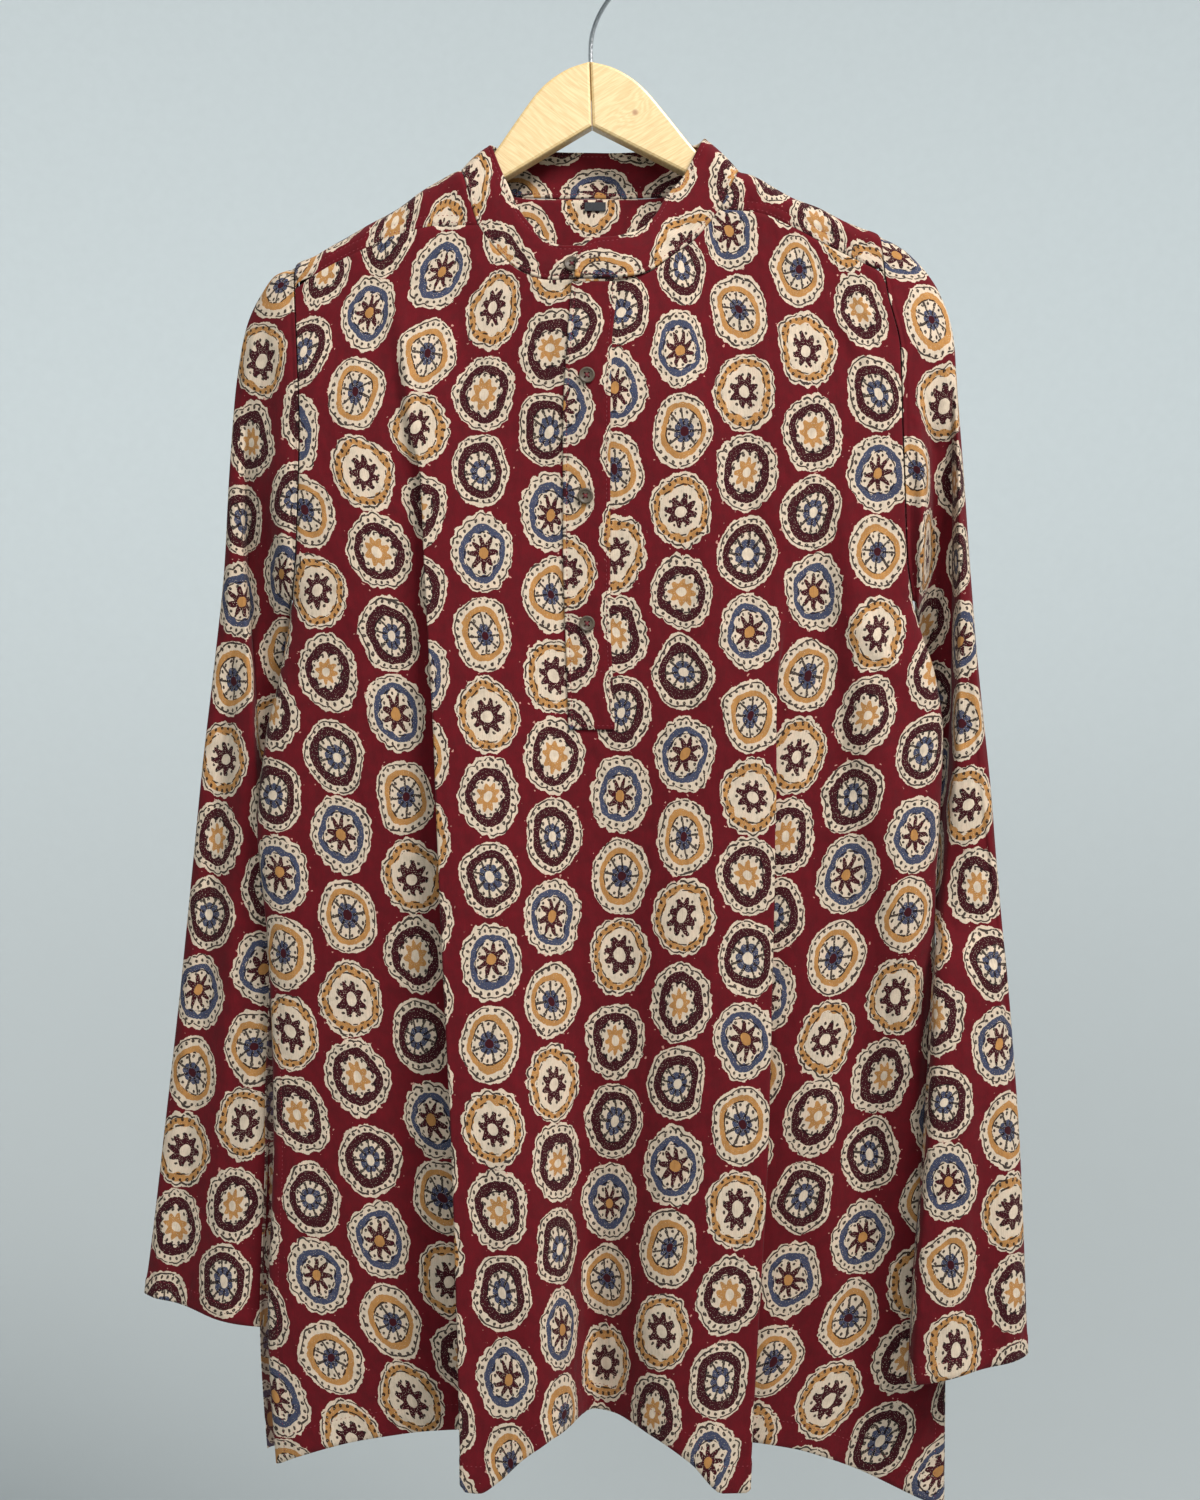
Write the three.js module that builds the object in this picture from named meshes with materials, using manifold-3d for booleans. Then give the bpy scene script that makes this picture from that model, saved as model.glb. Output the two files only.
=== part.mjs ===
// A printed cotton kurta hanging on a wooden hanger, in millimetres, +Z up.
// X runs to the viewer's right, -Y is the front of the garment, and the origin is the
// inner top of the hook's loop, where the hanger hangs.
import * as THREE from 'three';
import Module from 'manifold-3d';
import { mergeVertices } from 'three/addons/utils/BufferGeometryUtils.js';

// ---------------------------------------------------------------- driving sizes
const cloth = 1.2; // one wall of cloth
const bandCloth = 1.8; // the collar, two layers and a stiffener
const labelCloth = 1.0;
const seamGap = 0.3; // between neighbouring pieces at a seam
const turnedGap = 1.2; // at seams where the walls meet at an angle, so 0.3 is left at the nearest
const edgeRound = 24; // how far the body takes to round over at a side edge
const shoulderRound = 10; // rounding of the cloth over the hanger
const underarmZ = -425; // foot of both armholes
const underarmRound = 90; // how gradually an armhole narrows towards its foot
const slitTopZ = -645; // the side seams are open below this

const placketOverlap = 3; // how far the strips reach past the front's slot on each side
const placketFootZ = -509;
const placketTopDrop = 1.8; // below the collar's seam
const slotFootZ = -500;

const buttonRadius = 5.1;
const buttonThick = 2;
const buttonHoleRadius = 0.7;
const buttonHoleSpread = 1.25; // from the button's middle to each hole, along X and Z
const collarButton = { x: -12, z: -212.5, standOff: 0.8 };
const label = { left: -4.2, right: 9.6, top: -163, foot: -168.6 };

const buttonPlaces = [
  { x: -2.5, z: -284 },
  { x: -3.5, z: -360 },
  { x: -2.5, z: -441.5 },
];

const hangerThick = 12;
const hangerBevel = 2;
const hangerTilt = THREE.MathUtils.degToRad(-2); // its left arm hangs a little low
const hangerMiddleZ = -97;
const hangerSeam = 0.3; // the two arms meet face to face at the middle
const wireRadius = 1.5;
const loopRadius = 20; // of the hook's wire, on its centre line
const shankDepth = 24; // how far the hook's wire goes into the wood
const shankClearance = 0.3;

const colours = { print: 0x7c1c28, wood: 0xd9b98a, steel: 0xb9bbbd, button: 0x4a3f33, label: 0x15161a };

// ---------------------------------------------------------------- tables
// The body's vertical lines at successive heights. left and right are the side edges,
// foldLeft and foldRight the crests of the two long folds, and slotLeft and slotRight
// the edges of the slot under the placket.
const bodyLines = [
  { z: -170, left: -191, foldLeft: -127, slotLeft: -8, slotRight: 13, foldRight: 116, right: 184 },
  { z: -226, left: -190.5, foldLeft: -127, slotLeft: -9, slotRight: 13, foldRight: 116, right: 190 },
  { z: -265, left: -188.5, foldLeft: -118, slotLeft: -12, slotRight: 10, foldRight: 117, right: 198.5 },
  { z: -318, left: -187, foldLeft: -106, slotLeft: -14.5, slotRight: 9, foldRight: 117, right: 200 },
  { z: -399, left: -190, foldLeft: -96, slotLeft: -14.5, slotRight: 9, foldRight: 115, right: 203.5 },
  { z: -432, left: -194.5, foldLeft: -94, slotLeft: -13.5, slotRight: 9, foldRight: 113, right: 210 },
  { z: -477, left: -202.5, foldLeft: -92, slotLeft: -12, slotRight: 10.5, foldRight: 110, right: 224 },
  { z: -514, left: -211, foldLeft: -89, slotLeft: -11, slotRight: 12, foldRight: 107, right: 228.5 },
  { z: -575, left: -216.5, foldLeft: -86, slotLeft: -12, slotRight: 12, foldRight: 105, right: 226 },
  { z: -615, left: -213, foldLeft: -85, slotLeft: -13, slotRight: 12, foldRight: 104, right: 222.3 },
  { z: -670, left: -208, foldLeft: -83, slotLeft: -14, slotRight: 11, foldRight: 102, right: 222 },
  { z: -774, left: -205, foldLeft: -79, slotLeft: -17, slotRight: 9, foldRight: 97, right: 224 },
  { z: -891, left: -208.5, foldLeft: -75, slotLeft: -20, slotRight: 7, foldRight: 91, right: 229 },
  { z: -1015, left: -201, foldLeft: -71, slotLeft: -22, slotRight: 5, foldRight: 85, right: 228 },
];

// How far the panels stand off the middle plane at successive heights, and the height
// of each long fold above its panel.
const bodyDepths = [
  { z: -120, front: 12, back: 16.5, foldLeft: 0, foldRight: 0, backFolds: 0 },
  { z: -215, front: 12, back: 13, foldLeft: 0, foldRight: 0, backFolds: 0 },
  { z: -300, front: 15, back: 12, foldLeft: 4, foldRight: 0, backFolds: 1 },
  { z: -383, front: 15, back: 12, foldLeft: 9, foldRight: 0, backFolds: 3 },
  { z: -460, front: 14, back: 12, foldLeft: 13, foldRight: 5, backFolds: 5 },
  { z: -550, front: 13, back: 12, foldLeft: 18, foldRight: 11, backFolds: 7 },
  { z: -700, front: 12, back: 12, foldLeft: 28, foldRight: 23, backFolds: 10 },
  { z: -850, front: 11, back: 12, foldLeft: 37, foldRight: 34, backFolds: 14 },
  { z: -985, front: 10, back: 12, foldLeft: 44, foldRight: 43, backFolds: 17 },
];

// Each long fold of the front: width of its steep outer flank, width of its slope
// towards the middle, and how far its crest leans outwards at the hem.
const leanFromZ = -300;
const leanOver = 680;
const frontFolds = {
  foldLeft: { outward: -1, flank: 15, slope: 72, lean: 13 },
  foldRight: { outward: 1, flank: 15, slope: 74, lean: 12 },
};

// The back's shallow ridges: x of the crest at the yoke and at the hem, half width and share.
const ridgesFromZ = -250;
const ridgesOver = 740;
const backRidges = [
  { xTop: -120, xHem: -128, halfWidth: 46, share: 0.8 },
  { xTop: -20, xHem: -34, halfWidth: 40, share: 1.0 },
  { xTop: 62, xHem: 58, halfWidth: 36, share: 0.7 },
  { xTop: 130, xHem: 150, halfWidth: 44, share: 0.9 },
];

// The front's upper edge: the yoke seam outside the two neck corners, the neckline between.
const frontTop = [
  { x: -191, z: -226 },
  { x: -174, z: -214.5 },
  { x: -148, z: -201 },
  { x: -122, z: -190.5 },
  { x: -96, z: -185 },
  { x: -73, z: -185 },
  { x: -63, z: -199 },
  { x: -45, z: -216 },
  { x: -26, z: -222.5 },
  { x: 13, z: -222.5 },
  { x: 36, z: -217.5 },
  { x: 52, z: -206 },
  { x: 68, z: -193.5 },
  { x: 83, z: -175 },
  { x: 106, z: -176.5 },
  { x: 130, z: -186 },
  { x: 153, z: -198 },
  { x: 186, z: -214.5 },
];
const neckCorners = { left: -73, right: 83 };

// The front's hem, by place across the panel (0 at the left edge, 1 at the right).
const frontHem = [
  { s: 0, z: -984 },
  { s: 0.03, z: -977 },
  { s: 0.1, z: -967 },
  { s: 0.18, z: -962 },
  { s: 0.205, z: -963.5 },
  { s: 0.225, z: -967 },
  { s: 0.25, z: -979 },
  { s: 0.275, z: -984 },
  { s: 0.31, z: -978 },
  { s: 0.35, z: -967 },
  { s: 0.405, z: -948 },
  { s: 0.44, z: -944.5 },
  { s: 0.5, z: -945.5 },
  { s: 0.58, z: -953 },
  { s: 0.62, z: -965 },
  { s: 0.66, z: -981 },
  { s: 0.7, z: -986 },
  { s: 0.735, z: -984 },
  { s: 0.76, z: -976 },
  { s: 0.79, z: -971 },
  { s: 0.83, z: -972 },
  { s: 0.9, z: -985 },
  { s: 1, z: -1012 },
];

// The back's hem and its seam with the yoke, across the panel.
const backHem = [
  { s: 0, z: -978 },
  { s: 0.2, z: -968 },
  { s: 0.35, z: -957 },
  { s: 0.48, z: -951 },
  { s: 0.62, z: -958 },
  { s: 0.78, z: -974 },
  { s: 1, z: -1008 },
];
const backYokeSeam = [
  { x: -190, z: -262 },
  { x: 0, z: -250 },
  { x: 190, z: -256 },
];

// The top of the shoulders, and the neckline round the back.
const shoulderRidge = [
  { x: -192, z: -210 },
  { x: -152, z: -186.5 },
  { x: -122, z: -169.6 },
  { x: -84, z: -147.2 },
  { x: 96, z: -147.6 },
  { x: 120, z: -159.2 },
  { x: 148, z: -171.6 },
  { x: 186, z: -189.6 },
];
const yokeEnds = {
  left: { armSeam: -190.5, armRidge: -191, neckRidge: -84 },
  right: { armSeam: 187, armRidge: 186, neckRidge: 96 },
};
const backNeck = [
  { x: -60, z: -158 },
  { x: -30, z: -160.3 },
  { x: 30, z: -160.3 },
  { x: 72, z: -156 },
];
const backNeckEnds = { left: -60, right: 72 };
const yokeCapDepth = 11; // from the ridge down to the level of the back neckline

// The collar, from its under end round the back to its over end. Each row takes its seam
// point from the front's neckline (by x), the yoke's neck edge (by row) or the back
// neckline (by x), moved forward by step, and gives the point of the top edge above it.
const collarRibs = [
  { on: 'front', at: 13, step: 1.2, x: 11, y: -20, z: -199.5 },
  { on: 'front', at: -10, step: 0.6, x: -9, y: -19.5, z: -200.5 },
  { on: 'front', at: -26, step: 0, x: -22, y: -18.5, z: -199.5 },
  { on: 'front', at: -45, step: 0, x: -35, y: -16, z: -190 },
  { on: 'front', at: -63, step: 0, x: -47, y: -12, z: -174.5 },
  { on: 'yokeLeft', at: 0, step: 0, x: -53, y: -11.5, z: -161 },
  { on: 'yokeLeft', at: 2, step: 0, x: -60, y: -9.5, z: -145 },
  { on: 'yokeLeft', at: 3, step: 0, x: -64, y: -8.5, z: -134.5 },
  { on: 'yokeLeft', at: 4, step: 0, x: -65, y: 0, z: -130 },
  { on: 'yokeLeft', at: 6, step: 0, x: -61, y: 11.5, z: -128.3 },
  { on: 'yokeLeft', at: 7, step: 0, x: -51, y: 14.5, z: -128.6 },
  { on: 'back', at: -30, step: 0, x: -27, y: 16, z: -129.3 },
  { on: 'back', at: 5, step: 0, x: 5, y: 16.5, z: -129.8 },
  { on: 'back', at: 38, step: 0, x: 36, y: 16, z: -129.3 },
  { on: 'yokeRight', at: 7, step: 0, x: 61, y: 14.5, z: -126.6 },
  { on: 'yokeRight', at: 6, step: 0, x: 70, y: 11.5, z: -125.6 },
  { on: 'yokeRight', at: 4, step: 0, x: 74, y: 0, z: -125.6 },
  { on: 'yokeRight', at: 3, step: 0, x: 71.5, y: -8.5, z: -131 },
  { on: 'yokeRight', at: 2, step: 0, x: 66, y: -9.5, z: -142 },
  { on: 'yokeRight', at: 0, step: 0, x: 59, y: -11.5, z: -155 },
  { on: 'front', at: 68, step: 0, x: 49, y: -14, z: -167 },
  { on: 'front', at: 52, step: 0.5, x: 41, y: -18, z: -181 },
  { on: 'front', at: 36, step: 1.5, x: 31, y: -21.5, z: -190.8 },
  { on: 'front', at: 20, step: 2.6, x: 17, y: -24, z: -195.5 },
  { on: 'front', at: 2, step: 4, x: 1, y: -25.5, z: -198 },
  { on: 'front', at: -10, step: 4.6, x: -8.5, y: -26, z: -207 },
];

// The sleeves, as rings from the armhole to the cuff. out is the ring's outer point and in
// its inner point; half is its half thickness between them.
const leftSleeve = [
  { outX: -192, outY: 0, outZ: -210, inX: -194.5, inY: 0, inZ: -425, half: 12 },
  { outX: -204, outY: 1, outZ: -214, inX: -196, inY: 1, inZ: -427, half: 12.5 },
  { outX: -214, outY: 2, outZ: -226, inX: -197.5, inY: 4, inZ: -430, half: 13 },
  { outX: -224, outY: 3, outZ: -247, inX: -199, inY: 8, inZ: -433, half: 14 },
  { outX: -231, outY: 4, outZ: -283, inX: -199, inY: 13, inZ: -438, half: 15 },
  { outX: -236.5, outY: 6, outZ: -345, inX: -199.5, inY: 19, inZ: -450, half: 15.5 },
  { outX: -240, outY: 8, outZ: -400, inX: -201, inY: 25, inZ: -468, half: 17 },
  { outX: -247, outY: 10, outZ: -460, inX: -203, inY: 30, inZ: -500, half: 17 },
  { outX: -256, outY: 12, outZ: -530, inX: -206, inY: 32, inZ: -550, half: 17 },
  { outX: -264.5, outY: 13, outZ: -610, inX: -207, inY: 32, inZ: -620, half: 17 },
  { outX: -273, outY: 14, outZ: -690, inX: -205, inY: 30, inZ: -695, half: 17 },
  { outX: -282, outY: 15, outZ: -770, inX: -205, inY: 28, inZ: -775, half: 17 },
  { outX: -290, outY: 15, outZ: -840, inX: -207, inY: 27, inZ: -850, half: 17 },
  { outX: -295.5, outY: 15, outZ: -882, inX: -208, inY: 27, inZ: -901, half: 17 },
];
const rightSleeve = [
  { outX: 186, outY: 0, outZ: -190, inX: 208.5, inY: 0, inZ: -425, half: 12 },
  { outX: 200, outY: 1, outZ: -197, inX: 210.5, inY: 1, inZ: -427, half: 12.5 },
  { outX: 213, outY: 1, outZ: -208, inX: 212, inY: 4, inZ: -430, half: 13 },
  { outX: 226, outY: 1, outZ: -226, inX: 213, inY: 9, inZ: -433, half: 14 },
  { outX: 234.5, outY: 0, outZ: -252, inX: 214, inY: 15, inZ: -438, half: 15 },
  { outX: 239, outY: 0, outZ: -300, inX: 215, inY: 21, inZ: -447, half: 15 },
  { outX: 243.5, outY: 0, outZ: -360, inX: 216, inY: 26, inZ: -462, half: 15 },
  { outX: 247, outY: -2, outZ: -420, inX: 217, inY: 30, inZ: -482, half: 13 },
  { outX: 251, outY: -5, outZ: -480, inX: 216, inY: 31, inZ: -512, half: 11 },
  { outX: 256.5, outY: -9, outZ: -545, inX: 219, inY: 28, inZ: -562, half: 11 },
  { outX: 260, outY: -12, outZ: -590, inX: 223.9, inY: 14, inZ: -600, half: 10 },
  { outX: 263, outY: -14.5, outZ: -626, inX: 225.2, inY: -2.5, inZ: -634, half: 10 },
  { outX: 265.5, outY: -18, outZ: -665, inX: 217.5, inY: -16, inZ: -672, half: 14 },
  { outX: 272.5, outY: -23, outZ: -775, inX: 215, inY: -32, inZ: -784, half: 14 },
  { outX: 275.5, outY: -25, outZ: -850, inX: 208.5, inY: -34, inZ: -862, half: 14 },
  { outX: 277, outY: -26, outZ: -905, inX: 203.5, inY: -35, inZ: -920, half: 14 },
];
const armholeFade = 4; // the rings over which a sleeve leaves the armhole's own outline

// The long troughs down each sleeve: place round the ring in degrees from its outer point
// (the front is 0 to 180), half width in degrees, depth, and the rings it runs between.
const sleeveFolds = {
  left: [
    { at: 70, halfWidth: 34, depth: 5, from: 0, to: 16 },
    { at: 250, halfWidth: 40, depth: 4, from: 0, to: 16 },
  ],
  right: [
    { at: 80, halfWidth: 34, depth: 4.5, from: 8, to: 20 },
    { at: 134, halfWidth: 46, depth: 7, from: 4, to: 11 },
    { at: 270, halfWidth: 40, depth: 4, from: 0, to: 20 },
  ],
};

// The hanger's right half in its own frame: the upper edge from the middle outwards, then
// the lower edge back. The left half is its mirror image.
const hangerTop = [
  { x: 0, z: -76.5 },
  { x: 14, z: -80.5 },
  { x: 26.5, z: -87.8 },
  { x: 36, z: -96.6 },
  { x: 45, z: -108 },
  { x: 53, z: -118.6 },
  { x: 65, z: -134.5 },
  { x: 76, z: -145.6 },
  { x: 96, z: -156.3 },
  { x: 124, z: -170 },
  { x: 154, z: -186 },
  { x: 180, z: -200 },
];
const hangerBottom = [
  { x: 180, z: -217 },
  { x: 150, z: -202 },
  { x: 60, z: -151.5 },
  { x: 0, z: -118.6 },
];
const hangerEnd = { reach: 8, topDrop: 4, footDrop: 1 };

// The hook's wire from the top of the wood up to its loop, and the loop's two ends in degrees.
const hookStem = [
  { x: 0, z: -84 },
  { x: 0, z: -62 },
  { x: 2.6, z: -51 },
  { x: 7, z: -41.5 },
  { x: 12, z: -34 },
];
const loopEnds = { from: -25, to: 215, steps: 10 };

// ---------------------------------------------------------------- helpers
const clamp01 = (t) => Math.min(1, Math.max(0, t));
const mix = (a, b, t) => a + (b - a) * t;
const smooth = (t) => clamp01(t) ** 2 * (3 - 2 * clamp01(t));
const bump = (t) => (Math.abs(t) < 1 ? 0.5 + 0.5 * Math.cos(Math.PI * t) : 0);
const rounded = (t) => Math.sqrt(1 - (1 - clamp01(t)) ** 2);

// A smooth curve through a table's rows that never overshoots them: key is the column
// read along, name the column read off.
function curve(rows, key, name) {
  const sorted = [...rows].sort((a, b) => a[key] - b[key]);
  const at = sorted.map((row) => row[key]);
  const value = sorted.map((row) => row[name]);
  const last = at.length - 1;
  const slope = (i) => (value[i + 1] - value[i]) / (at[i + 1] - at[i]);
  const tangent = value.map((_, i) => {
    if (i === 0) return slope(0);
    if (i === last) return slope(last - 1);
    const before = slope(i - 1);
    const after = slope(i);
    return before * after <= 0 ? 0 : (2 * before * after) / (before + after);
  });
  return (where) => {
    const k = Math.min(Math.max(where, at[0]), at[last]);
    let i = 0;
    while (i < last - 1 && k > at[i + 1]) i += 1;
    const span = at[i + 1] - at[i];
    const t = (k - at[i]) / span;
    const a = value[i] * (1 + 2 * t) * (1 - t) ** 2;
    const b = value[i + 1] * t * t * (3 - 2 * t);
    const c = tangent[i] * span * t * (1 - t) ** 2;
    const d = tangent[i + 1] * span * t * t * (t - 1);
    return a + b + c + d;
  };
}

// A closed wall from a grid of points on its middle surface. keep(row, column) says which
// cells are cloth, and wrap joins the last column to the first.
function wallGeometry(grid, thickness, { keep = () => true, wrap = false } = {}) {
  const rows = grid.length;
  const columns = grid[0].length;
  const cellColumns = wrap ? columns : columns - 1;
  const isKept = (r, c) => {
    if (r < 0 || r >= rows - 1) return false;
    if (!wrap && (c < 0 || c >= cellColumns)) return false;
    return keep(r, (c + columns) % columns);
  };
  const point = (r, c) => grid[r][(c + columns) % columns];
  const normalAt = (r, c) => {
    const down = new THREE.Vector3();
    const across = new THREE.Vector3();
    for (const side of [-1, 0]) {
      if (isKept(r, c + side) || isKept(r - 1, c + side)) {
        across.add(point(r, c + side + 1)).sub(point(r, c + side));
      }
      if (isKept(r + side, c) || isKept(r + side, c - 1)) {
        down.add(grid[r + side + 1][(c + columns) % columns]).sub(grid[r + side][(c + columns) % columns]);
      }
    }
    return down.cross(across).normalize();
  };
  const positions = [];
  const index = new Map();
  const vertex = (r, c, side) => {
    const column = (c + columns) % columns;
    const key = `${r},${column},${side}`;
    if (!index.has(key)) {
      const p = point(r, column).clone().addScaledVector(normalAt(r, column), (side * thickness) / 2);
      index.set(key, positions.length / 3);
      positions.push(p.x, p.y, p.z);
    }
    return index.get(key);
  };
  const faces = [];
  const quad = (a, b, c, d) => faces.push(a, b, c, a, c, d);
  const rim = (from, to) => {
    quad(vertex(...to, 1), vertex(...from, 1), vertex(...from, -1), vertex(...to, -1));
  };
  for (let r = 0; r < rows - 1; r += 1) {
    for (let c = 0; c < cellColumns; c += 1) {
      if (!isKept(r, c)) continue;
      const [a, b, d, e] = [[r, c], [r, c + 1], [r + 1, c], [r + 1, c + 1]];
      faces.push(vertex(...a, 1), vertex(...d, 1), vertex(...b, 1));
      faces.push(vertex(...b, 1), vertex(...d, 1), vertex(...e, 1));
      faces.push(vertex(...a, -1), vertex(...b, -1), vertex(...d, -1));
      faces.push(vertex(...b, -1), vertex(...e, -1), vertex(...d, -1));
      if (!isKept(r - 1, c)) rim(b, a);
      if (!isKept(r + 1, c)) rim(d, e);
      if (!isKept(r, c - 1)) rim(a, d);
      if (!isKept(r, c + 1)) rim(e, b);
    }
  }
  const geometry = new THREE.BufferGeometry();
  geometry.setAttribute('position', new THREE.Float32BufferAttribute(positions, 3));
  geometry.setIndex(faces);
  geometry.computeVertexNormals();
  return geometry;
}

// ---------------------------------------------------------------- manifold booleans
const wasm = await Module();
wasm.setup();

function toManifold(geometry) {
  const bare = geometry.clone();
  bare.deleteAttribute('normal');
  bare.deleteAttribute('uv');
  const merged = mergeVertices(bare, 1e-4);
  const vertProperties = new Float32Array(merged.getAttribute('position').array);
  const triVerts = new Uint32Array(merged.index.array);
  return new wasm.Manifold(new wasm.Mesh({ numProp: 3, vertProperties, triVerts }));
}

function fromManifold(solid) {
  const mesh = solid.getMesh();
  const geometry = new THREE.BufferGeometry();
  geometry.setAttribute('position', new THREE.Float32BufferAttribute(mesh.vertProperties, 3));
  geometry.setIndex(Array.from(mesh.triVerts));
  geometry.computeVertexNormals();
  return geometry;
}

const cut = (geometry, tools) =>
  fromManifold(tools.reduce((solid, tool) => solid.subtract(toManifold(tool)), toManifold(geometry)));

// ---------------------------------------------------------------- the body's surfaces
const lineNames = ['left', 'foldLeft', 'slotLeft', 'slotRight', 'foldRight', 'right'];
const linePlaces = [0, 0.26, 0.45, 0.51, 0.74, 1];
const lines = Object.fromEntries(lineNames.map((name) => [name, curve(bodyLines, 'z', name)]));
const depth = Object.fromEntries(
  ['front', 'back', 'foldLeft', 'foldRight', 'backFolds'].map((name) => [name, curve(bodyDepths, 'z', name)]),
);
const frontTopZ = curve(frontTop, 'x', 'z');
const frontHemZ = curve(frontHem, 's', 'z');
const backHemZ = curve(backHem, 's', 'z');
const backSeamZ = curve(backYokeSeam, 'x', 'z');
const ridgeZ = curve(shoulderRidge, 'x', 'z');
const backNeckZ = curve(backNeck, 'x', 'z');

// x of the place s across a panel at height z, and the place of an x at height z.
function acrossX(s, z) {
  const i = Math.min(linePlaces.findLastIndex((place) => s >= place), lineNames.length - 2);
  const t = (s - linePlaces[i]) / (linePlaces[i + 1] - linePlaces[i]);
  return mix(lines[lineNames[i]](z), lines[lineNames[i + 1]](z), t);
}

function acrossPlace(x, z) {
  const xs = lineNames.map((name) => lines[name](z));
  const i = Math.min(Math.max(xs.findLastIndex((edge) => x >= edge), 0), lineNames.length - 2);
  return mix(linePlaces[i], linePlaces[i + 1], (x - xs[i]) / (xs[i + 1] - xs[i]));
}

// Half the gap between front and back at the side edges: an armhole above the underarm,
// a closed side seam below it, and an open slit below that.
const armholeTop = { left: -210, right: -189.6 };
const armholeHalf = (side, z) => {
  const fromTop = armholeTop[side] - z;
  const wide = mix(9, 13, smooth(fromTop / 60));
  return turnedGap / 2 + wide * rounded(fromTop / shoulderRound) * rounded((z - underarmZ) / underarmRound);
};
const slitHalf = (z) => turnedGap / 2 + 4 * smooth((slitTopZ - z) / 160);
const sideHalf = (side, z) => (z > underarmZ ? armholeHalf(side, z) : slitHalf(z));

// Height of one long fold at x, and how far it leans.
function foldShare(name, x, z) {
  const { outward, flank, slope } = frontFolds[name];
  const out = (x - lines[name](z)) * outward;
  return bump(out > 0 ? out / flank : out / slope);
}

const neckPush = { x: 2, z: -225, halfWidth: 95, down: 190, up: 70, push: 11 };
function frontDepth(x, z) {
  const side = x < 0 ? 'left' : 'right';
  const edge = Math.min(x - lines.left(z), lines.right(z) - x);
  const reach = z > neckPush.z ? neckPush.up : neckPush.down;
  const push = neckPush.push * bump((x - neckPush.x) / neckPush.halfWidth) * bump((z - neckPush.z) / reach);
  const folds = Math.max(
    depth.foldLeft(z) * foldShare('foldLeft', x, z),
    depth.foldRight(z) * foldShare('foldRight', x, z),
  );
  const closed = sideHalf(side, z);
  return closed + (depth.front(z) + push + folds - closed) * rounded(edge / edgeRound);
}

function leanX(x, z) {
  const hemShare = clamp01((leanFromZ - z) / leanOver);
  return Object.entries(frontFolds).reduce(
    (sum, [name, fold]) => sum + fold.outward * fold.lean * hemShare * foldShare(name, x, z),
    0,
  );
}

// A point of the front panel at x and height z, moved out towards the viewer by out.
const frontPoint = (x, z, out = 0) => new THREE.Vector3(x + leanX(x, z), -frontDepth(x, z) - out, z);

function backDepth(x, z) {
  const side = x < 0 ? 'left' : 'right';
  const edge = Math.min(x - lines.left(z), lines.right(z) - x);
  const down = clamp01((ridgesFromZ - z) / ridgesOver);
  const folds = backRidges.reduce((sum, ridge) => {
    const crest = mix(ridge.xTop, ridge.xHem, down);
    return sum + ridge.share * bump((x - crest) / ridge.halfWidth);
  }, 0);
  const closed = sideHalf(side, z);
  return closed + (depth.back(z) + depth.backFolds(z) * folds - closed) * rounded(edge / edgeRound);
}

// Below the slit's top the back panel shows a few millimetres past the front's edge.
const slitShow = 7;
function backPoint(x, z) {
  const s = acrossPlace(x, z);
  const show = slitShow * smooth((slitTopZ - z) / 120);
  return new THREE.Vector3(x + show * (smooth((s - 0.9) / 0.1) - smooth((0.1 - s) / 0.1)), backDepth(x, z), z);
}

// Heights of a panel's rows: level between, its own upper edge at the first row and its
// own hem at the last.
function rowHeights(levels, topZ, hemZ, settle = { top: -330, hem: -830 }) {
  const first = levels[0];
  const last = levels[levels.length - 1];
  return levels.map((level) => {
    const nearTop = clamp01((level - settle.top) / (first - settle.top));
    const nearHem = clamp01((level - settle.hem) / (last - settle.hem));
    return level + (topZ - first) * nearTop + (hemZ - last) * nearHem;
  });
}

const spread = (from, to, count) => Array.from({ length: count }, (_, i) => mix(from, to, i / count));

// ---------------------------------------------------------------- front and back
function makeFront() {
  const topLevel = -215;
  const foldFoot = 0.2;
  const neckLeft = acrossPlace(neckCorners.left, topLevel);
  const neckRight = acrossPlace(neckCorners.right, topLevel);
  const places = [
    ...[0, 0.004, 0.016, 0.045, 0.09, 0.145],
    ...spread(foldFoot, 0.26, 4),
    ...spread(0.26, neckLeft, 3),
    ...spread(neckLeft, 0.45, 4),
    ...spread(0.45, 0.51, 2),
    ...spread(0.51, neckRight, 4),
    ...spread(neckRight, 0.74, 2),
    ...spread(0.74, 0.8, 4),
    ...[0.8, 0.855, 0.91, 0.955, 0.984, 0.996, 1],
  ];
  const levels = [topLevel, -228, -245, -270, -300, -335, -370, -400, -425, -460, slotFootZ, -540, -590, slitTopZ,
    -700, -750, -800, -850, -890, -925, -950, -975];
  const columns = places.map((s) => rowHeights(levels, frontTopZ(acrossX(s, topLevel)), frontHemZ(s)));
  const grid = levels.map((_, r) => places.map((s, c) => frontPoint(acrossX(s, columns[c][r]), columns[c][r])));
  const slotFirst = places.indexOf(0.45);
  const slotLast = places.indexOf(0.51) - 1;
  const slotFoot = levels.indexOf(slotFootZ);
  const keep = (r, c) => !(r < slotFoot && c >= slotFirst && c <= slotLast);
  return wallGeometry(grid, cloth, { keep });
}

function makeBack() {
  const places = [0, 0.005, 0.02, 0.05, 0.1, ...spread(0.16, 0.9, 14), 0.9, 0.95, 0.98, 0.995, 1];
  const levels = [-260, -300, -345, -385, -425, -480, -540, -600, slitTopZ, -710, -780, -850, -910, -960];
  const columns = places.map((s) => {
    const seam = backSeamZ(acrossX(s, -260)) - seamGap;
    return rowHeights(levels, seam, backHemZ(s), { top: -385, hem: -780 });
  });
  const grid = levels.map((_, r) => places.map((s, c) => backPoint(acrossX(s, columns[c][r]), columns[c][r])));
  return wallGeometry(grid, cloth);
}

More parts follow.
